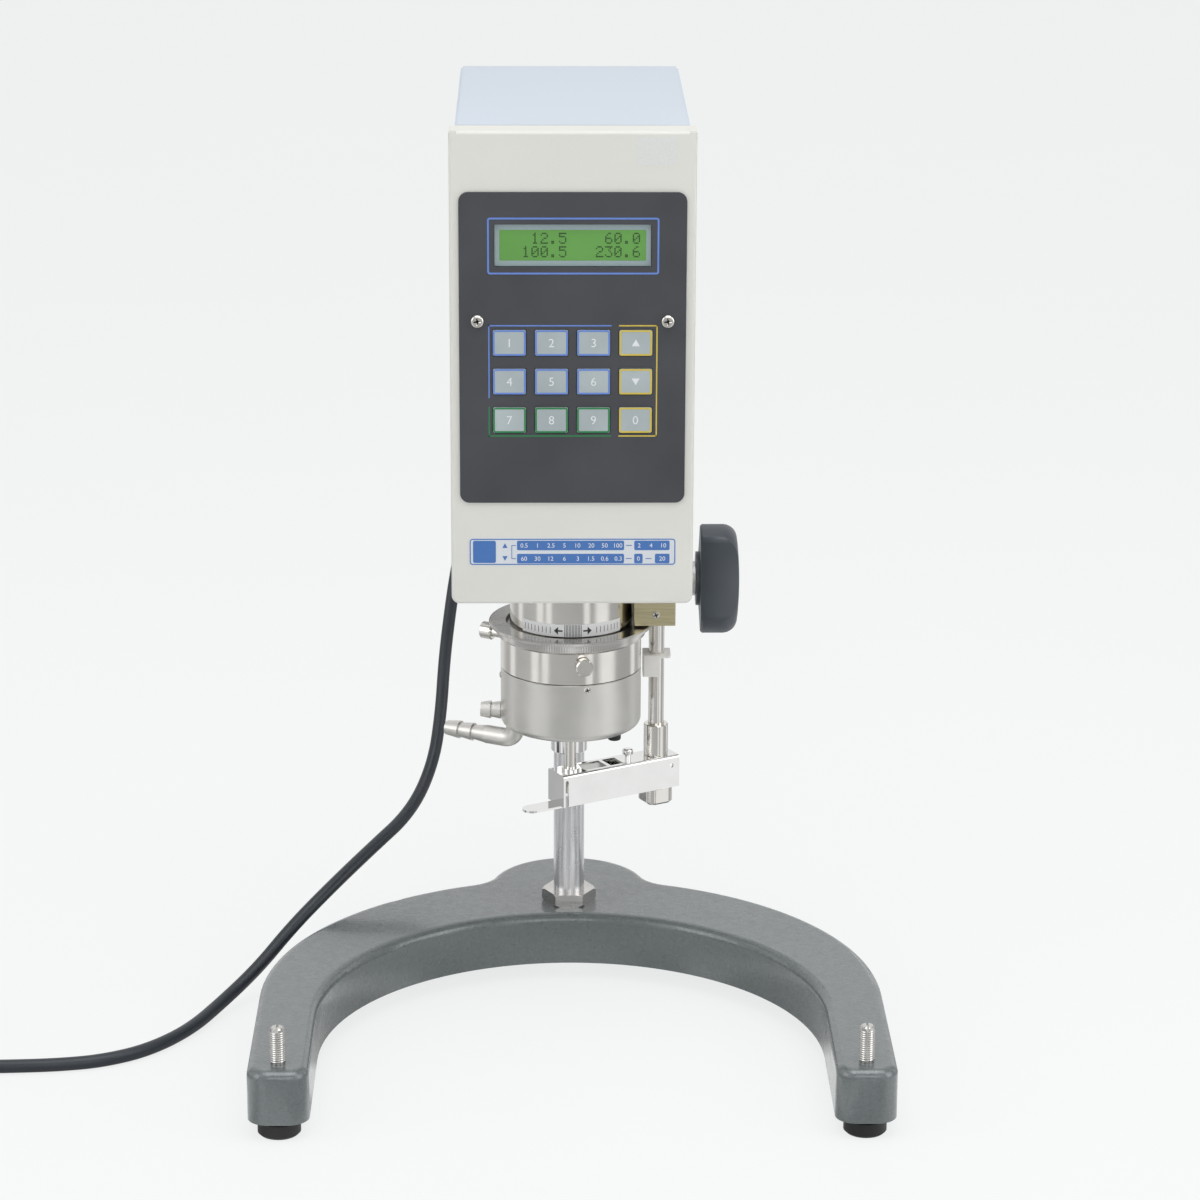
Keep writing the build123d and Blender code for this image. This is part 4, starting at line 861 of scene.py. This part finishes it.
def aroundCup(radius, angle, z):
    # angle in degrees round the measuring axis, 0 in front, positive to the right
    turn = math.radians(angle)
    return mm(radius * math.sin(turn), cupSizes["axisY"] - radius * math.cos(turn), z)


def addWrap(bm, radius, angle0, angle1, low, high, thick=0.06, steps=0):
    # a printed band on a cylinder round the measuring axis
    steps = steps or max(1, int(abs(angle1 - angle0) / 2))
    inner = radius - 0.02
    outer = radius + thick
    rows = []
    for step in range(steps + 1):
        angle = angle0 + (angle1 - angle0) * step / steps
        corners = ((inner, low), (outer, low), (outer, high), (inner, high))
        rows.append([bm.verts.new(aroundCup(reach, angle, z)) for reach, z in corners])
    for first, second in zip(rows, rows[1:]):
        for side in range(4):
            following = (side + 1) % 4
            bm.faces.new((first[side], second[side], second[following], first[following]))
    bm.faces.new(list(reversed(rows[0])))
    bm.faces.new(rows[-1])


def knurledBand(bm, radius, depth, low, high, pitch):
    count = int(2 * math.pi * radius / pitch) * 2
    rings = []
    for z, inset in ((low, 0.25), (low + 0.25, 0), (high - 0.25, 0), (high, 0.25)):
        ring = []
        for index in range(count):
            reach = radius + (depth if index % 2 else 0.0) - (inset if index % 2 else 0.0)
            ring.append(bm.verts.new(aroundCup(reach, 360 * index / count, z)))
        rings.append(ring)
    for lower, upper in zip(rings, rings[1:]):
        for index in range(count):
            following = (index + 1) % count
            bm.faces.new((lower[index], lower[following], upper[following], upper[index]))


knurlSizes = {
    "pitch": 1.1,
    "flange": (193.6, 194.9), "flangeDepth": 0.28,
    "band": (189.5, 193.4), "bandDepth": 0.35,
}


def ringKnurl():
    bm = bmesh.new()
    size = knurlSizes
    knurledBand(bm, cupSizes["flange"], size["flangeDepth"], *size["flange"], size["pitch"])
    knurledBand(bm, cupSizes["band"], size["bandDepth"], *size["band"], size["pitch"])
    piece = meshObject("ring_knurl", bm, finish["turned"])
    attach(piece, "ring")


scaleSizes = {
    "half": 52, "low": 195.2, "high": 200.8,  # the white film, in degrees and heights
    "hatchFrom": -6.2, "hatchSpan": 15.2, "hatchLines": 12,
    "arrows": ((-1, -15.8, -8.3), (1, 18.4, 11.0)), "arrowHeight": 197.9,
    "tickStep": 4.0, "tickLow": 196.6, "tickHigh": 199.3,
}


def neckScale():
    radius = cupSizes["neck"]
    size = scaleSizes
    film = bmesh.new()
    addWrap(film, radius, -size["half"], size["half"], size["low"], size["high"])
    printOn("scale_film", film, "scaleFilm", "head")
    marks = bmesh.new()
    over = radius + 0.06
    for line in range(size["hatchLines"]):
        angle = size["hatchFrom"] + size["hatchSpan"] * line / (size["hatchLines"] - 1)
        addWrap(marks, over, angle - 0.28, angle + 0.28, size["low"] + 0.1, size["high"] - 0.1, 0.03, 1)
    middle = size["arrowHeight"]
    for side, tip, stem in size["arrows"]:
        addWrap(marks, over, min(tip, stem), max(tip, stem), middle - 0.35, middle + 0.35, 0.03, 2)
        for step in range(4):
            reach = tip - side * (0.6 + 0.9 * step)
            half = 0.3 + 0.42 * step
            addWrap(marks, over, min(reach, reach + side * 0.9), max(reach, reach + side * 0.9),
                    middle - half, middle + half, 0.03, 1)
    for step in list(range(-12, -4)) + list(range(6, 13)):
        angle = step * size["tickStep"]
        addWrap(marks, over, angle - 0.25, angle + 0.25, size["tickLow"], size["tickHigh"], 0.03, 1)
    printOn("scale_marks", marks, "scaleInk", "head")


screwSizes = {
    "jacket": (3.0, 0.5), "jacketPlaces": ((13.0, 172.0), (-84.0, 170.5)),
    "block": (3.4, 0.8), "blockPlace": (37.05, -21.0, 201.0),
    "cover": (5.0, 1.2), "coverAcross": 42.0, "coverBack": 107.0, "coverHeights": (230.0, 404.0),
    "plateAcross": 39.7, "plateFront": -61.9, "plateHeight": 341.5,
}


def addScrewHead(bm, matrix, diameter, height):
    # a pan head that looks along the matrix's Z
    r = diameter / 2000
    h = height / 1000
    profile = [(0, -0.0006), (r, -0.0006), (r, h * 0.45), (r * 0.86, h * 0.85), (r * 0.5, h), (0, h)]
    addLathe(bm, profile, matrix, 28)


def addCross(bm, matrix, reach, width, height):
    # a dark cross laid a hair above the head: painted shade where the cross recess falls dark, not a cut
    for turn in (0, 90):
        made = bmesh.ops.create_cube(bm, size=1.0)
        spin = Matrix.Rotation(math.radians(turn + 20), 4, "Z")
        for vert in made["verts"]:
            local = Vector((vert.co.x * reach / 1000, vert.co.y * width / 1000,
                            vert.co.z * 0.0001 + height / 1000))
            vert.co = matrix @ spin @ local


def smallScrews():
    size = screwSizes
    cupHeads, cupCutShade = bmesh.new(), bmesh.new()
    headHeads, headCutShade = bmesh.new(), bmesh.new()
    diameter, rise = size["jacket"]
    for angle, z in size["jacketPlaces"]:
        turn = math.radians(angle)
        away = (math.sin(turn), -math.cos(turn), 0)
        place = pointing(aroundCup(cupSizes["jacket"], angle, z), away)
        addScrewHead(cupHeads, place, diameter, rise)
        addCross(cupCutShade, place, diameter * 0.62, 0.5, rise + 0.02)
    block = pointing(mm(*size["blockPlace"]), (0, -1, 0))
    addScrewHead(headHeads, block, *size["block"])
    addCross(headCutShade, block, 2.2, 0.5, 0.82)
    for side in (-1, 1):
        plate = pointing(mm(side * size["plateAcross"], size["plateFront"], size["plateHeight"]), (0, -1, 0))
        # the front plate's screws are only a painted shade cross laid on the plate
        addCross(headCutShade, plate, 3.2, 0.8, 0.05)
        for z in size["coverHeights"]:
            back = pointing(mm(side * size["coverAcross"], size["coverBack"], z), (0, 1, 0))
            addScrewHead(headHeads, back, *size["cover"])
            addCross(headCutShade, back, 3.0, 0.7, 1.22)
    # the cut pieces are painted shade of the cross recesses, laid over the heads
    for name, bm, coat, body in (("jacket_screws", cupHeads, "polish", "cup"),
                                 ("jacket_screw_cut_shade", cupCutShade, "screwCutShade", "cup"),
                                 ("head_screws", headHeads, "polish", "head"),
                                 ("head_screw_cut_shade", headCutShade, "screwCutShade", "head")):
        piece = meshObject(name, bm, finish[coat], 35)
        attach(piece, body)


footSizes = {"across": 125.25, "y": -118.2, "top": 48.6, "casting": 32.0, "pitch": 1.0, "depth": 0.3}


def addThread(bm, x, y, low, high, radius, depth, pitch, steps=24):
    # a true helix, crest and root, between two heights
    total = int((high - low) / pitch * steps)
    rows = []
    for index in range(total):
        angle = 2 * math.pi * index / steps
        z = low + pitch * index / steps
        row = []
        for reach, rise in ((radius - 0.02, -0.5), (radius + depth, 0.0), (radius - 0.02, 0.5)):
            row.append(bm.verts.new(mm(x + reach * math.cos(angle), y + reach * math.sin(angle),
                                       z + rise * pitch)))
        rows.append(row)
    for first, second in zip(rows, rows[1:]):
        bm.faces.new((first[0], second[0], second[1], first[1]))
        bm.faces.new((first[1], second[1], second[2], first[2]))


def footThreads():
    for side, word in ((-1, "left"), (1, "right")):
        bm = bmesh.new()
        x = side * footSizes["across"]
        addThread(bm, x, footSizes["y"], footSizes["casting"] + 0.6, footSizes["top"] - 1.8, 3.0,
                  footSizes["depth"], footSizes["pitch"])
        piece = meshObject("screw_thread_" + word, bm, finish["turned"], 40)
        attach(piece, word + "_foot")


knobSizes = {
    "inner": 60.4, "thick": 18.4, "radius": 26.3, "edge": 7.0, "dome": 170.0,
    "flute": 96.0, "depth": 9.4, "lean": 16.0,  # radius and depth of the hollows, and their turn in degrees
    "y": 84.9, "z": 186.0, "hub": 12.5, "hubLength": 1.7, "chamfer": 0.9,
}


def knobOutline(angle):
    # distance from the knob's axis to its wall; the flutes are large hollow arcs
    size = knobSizes
    reach = size["radius"] - size["depth"] + size["flute"]
    away = (angle - size["lean"] + 60) % 120 - 60
    turn = math.radians(away)
    inside = size["flute"] ** 2 - (reach * math.sin(turn)) ** 2
    if inside <= 0:
        return size["radius"]
    wall = reach * math.cos(turn) - math.sqrt(inside)
    soft = 1.6
    return -math.log(math.exp(-soft * wall) + math.exp(-soft * size["radius"])) / soft


def knobDrop(radius):
    size = knobSizes
    drop = size["dome"] - math.sqrt(size["dome"] ** 2 - radius ** 2)
    start = size["radius"] - size["edge"]
    if radius > start:
        drop += size["edge"] - math.sqrt(max(size["edge"] ** 2 - (radius - start) ** 2, 0.0))
    return drop


def knobRing(bm, x, distances):
    # one loop of the knob's skin, at x from its inner face
    size = knobSizes
    ring = []
    for step, reach in enumerate(distances):
        turn = math.radians(360 * step / len(distances))
        ring.append(bm.verts.new(mm(size["inner"] + x, size["y"] - reach * math.cos(turn),
                                    size["z"] + reach * math.sin(turn))))
    return ring


def liftKnob():
    size = knobSizes
    steps = 180
    outline = [knobOutline(360 * step / steps) for step in range(steps)]
    bm = bmesh.new()
    rings = [knobRing(bm, x, [size["hub"]] * steps) for x in (-size["hubLength"], 0.0)]
    for share, x in ((0.6, 0.0), (1 - size["chamfer"] / size["radius"], 0.0), (1.0, size["chamfer"])):
        rings.append(knobRing(bm, x, [share * reach for reach in outline]))
    for share in (1.0, 0.985, 0.96, 0.93, 0.89, 0.84, 0.78, 0.68, 0.55, 0.4, 0.2):
        ring = []
        for step in range(steps):
            reach = share * outline[step]
            turn = math.radians(360 * step / steps)
            x = size["inner"] + size["thick"] - knobDrop(reach)
            ring.append(bm.verts.new(mm(x, size["y"] - reach * math.cos(turn),
                                        size["z"] + reach * math.sin(turn))))
        rings.append(ring)
    for first, second in zip(rings, rings[1:]):
        for step in range(steps):
            following = (step + 1) % steps
            bm.faces.new((first[step], second[step], second[following], first[following]))
    bm.faces.new(rings[0])
    bm.faces.new(list(reversed(rings[-1])))
    bmesh.ops.recalc_face_normals(bm, faces=bm.faces[:])
    piece = meshObject("lobed_knob", bm, finish["knob"], 40)
    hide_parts("lift_knob")
    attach(piece, "lift")


headTop = {
    "panelHalf": 51.25, "coverHalf": 49.0, "front": -60.0, "panelBack": -46.0, "back": 107.05, "top": 421.0,
    "corner": 3.6, "roofDepth": 9.0,
}


def squareTop():
    # the bent sheet panel has square top corners, and the cover's roof lies level with it
    size = headTop
    corners = bmesh.new()
    for side in (-1, 1):
        inner, outer = side * (size["panelHalf"] - size["corner"]), side * size["panelHalf"]
        addBox(corners, mm(min(inner, outer), size["front"] + 0.02, size["top"] - size["corner"]),
               mm(max(inner, outer), size["panelBack"], size["top"]), 0.0005)
    panel = meshObject("panel_corners", corners, finish["cream"], 40)
    roof = bmesh.new()
    addBox(roof, mm(-size["coverHalf"], size["panelBack"] + 0.1, size["top"] - size["roofDepth"]),
           mm(size["coverHalf"], size["back"], size["top"]), 0.0009)
    cover = meshObject("cover_roof", roof, finish["blueGrey"], 40)
    for piece, slot in ((panel, "cream_paint"), (cover, "blue_grey_paint")):
        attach(piece, "head")


rockerSizes = {
    "x": 28.0, "barFace": 109.65, "barBottom": 250.7, "barTop": 253.7, "ring": (28.0, 108.1, 243.6),
}


def rockerMarks():
    # a plain bar and ring, moulded white on the two halves of the rocker
    size = rockerSizes
    bm = bmesh.new()
    addBox(bm, mm(size["x"] - 0.3, size["barFace"] - 0.45, size["barBottom"]),
           mm(size["x"] + 0.3, size["barFace"], size["barTop"]))
    profile = [(0.0011, 0), (0.0011, 0.0002), (0.0016, 0.0002), (0.0016, 0)]
    addLathe(bm, profile, pointing(mm(*size["ring"]), (0, 1, 0)), 24)
    piece = meshObject("rocker_marks", bm, finish["inkWhite"])
    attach(piece, "rocker")


ringKnurl()
neckScale()
smallScrews()
footThreads()
liftKnob()
squareTop()
rockerMarks()
print("knurl, scale, screws and knob done")
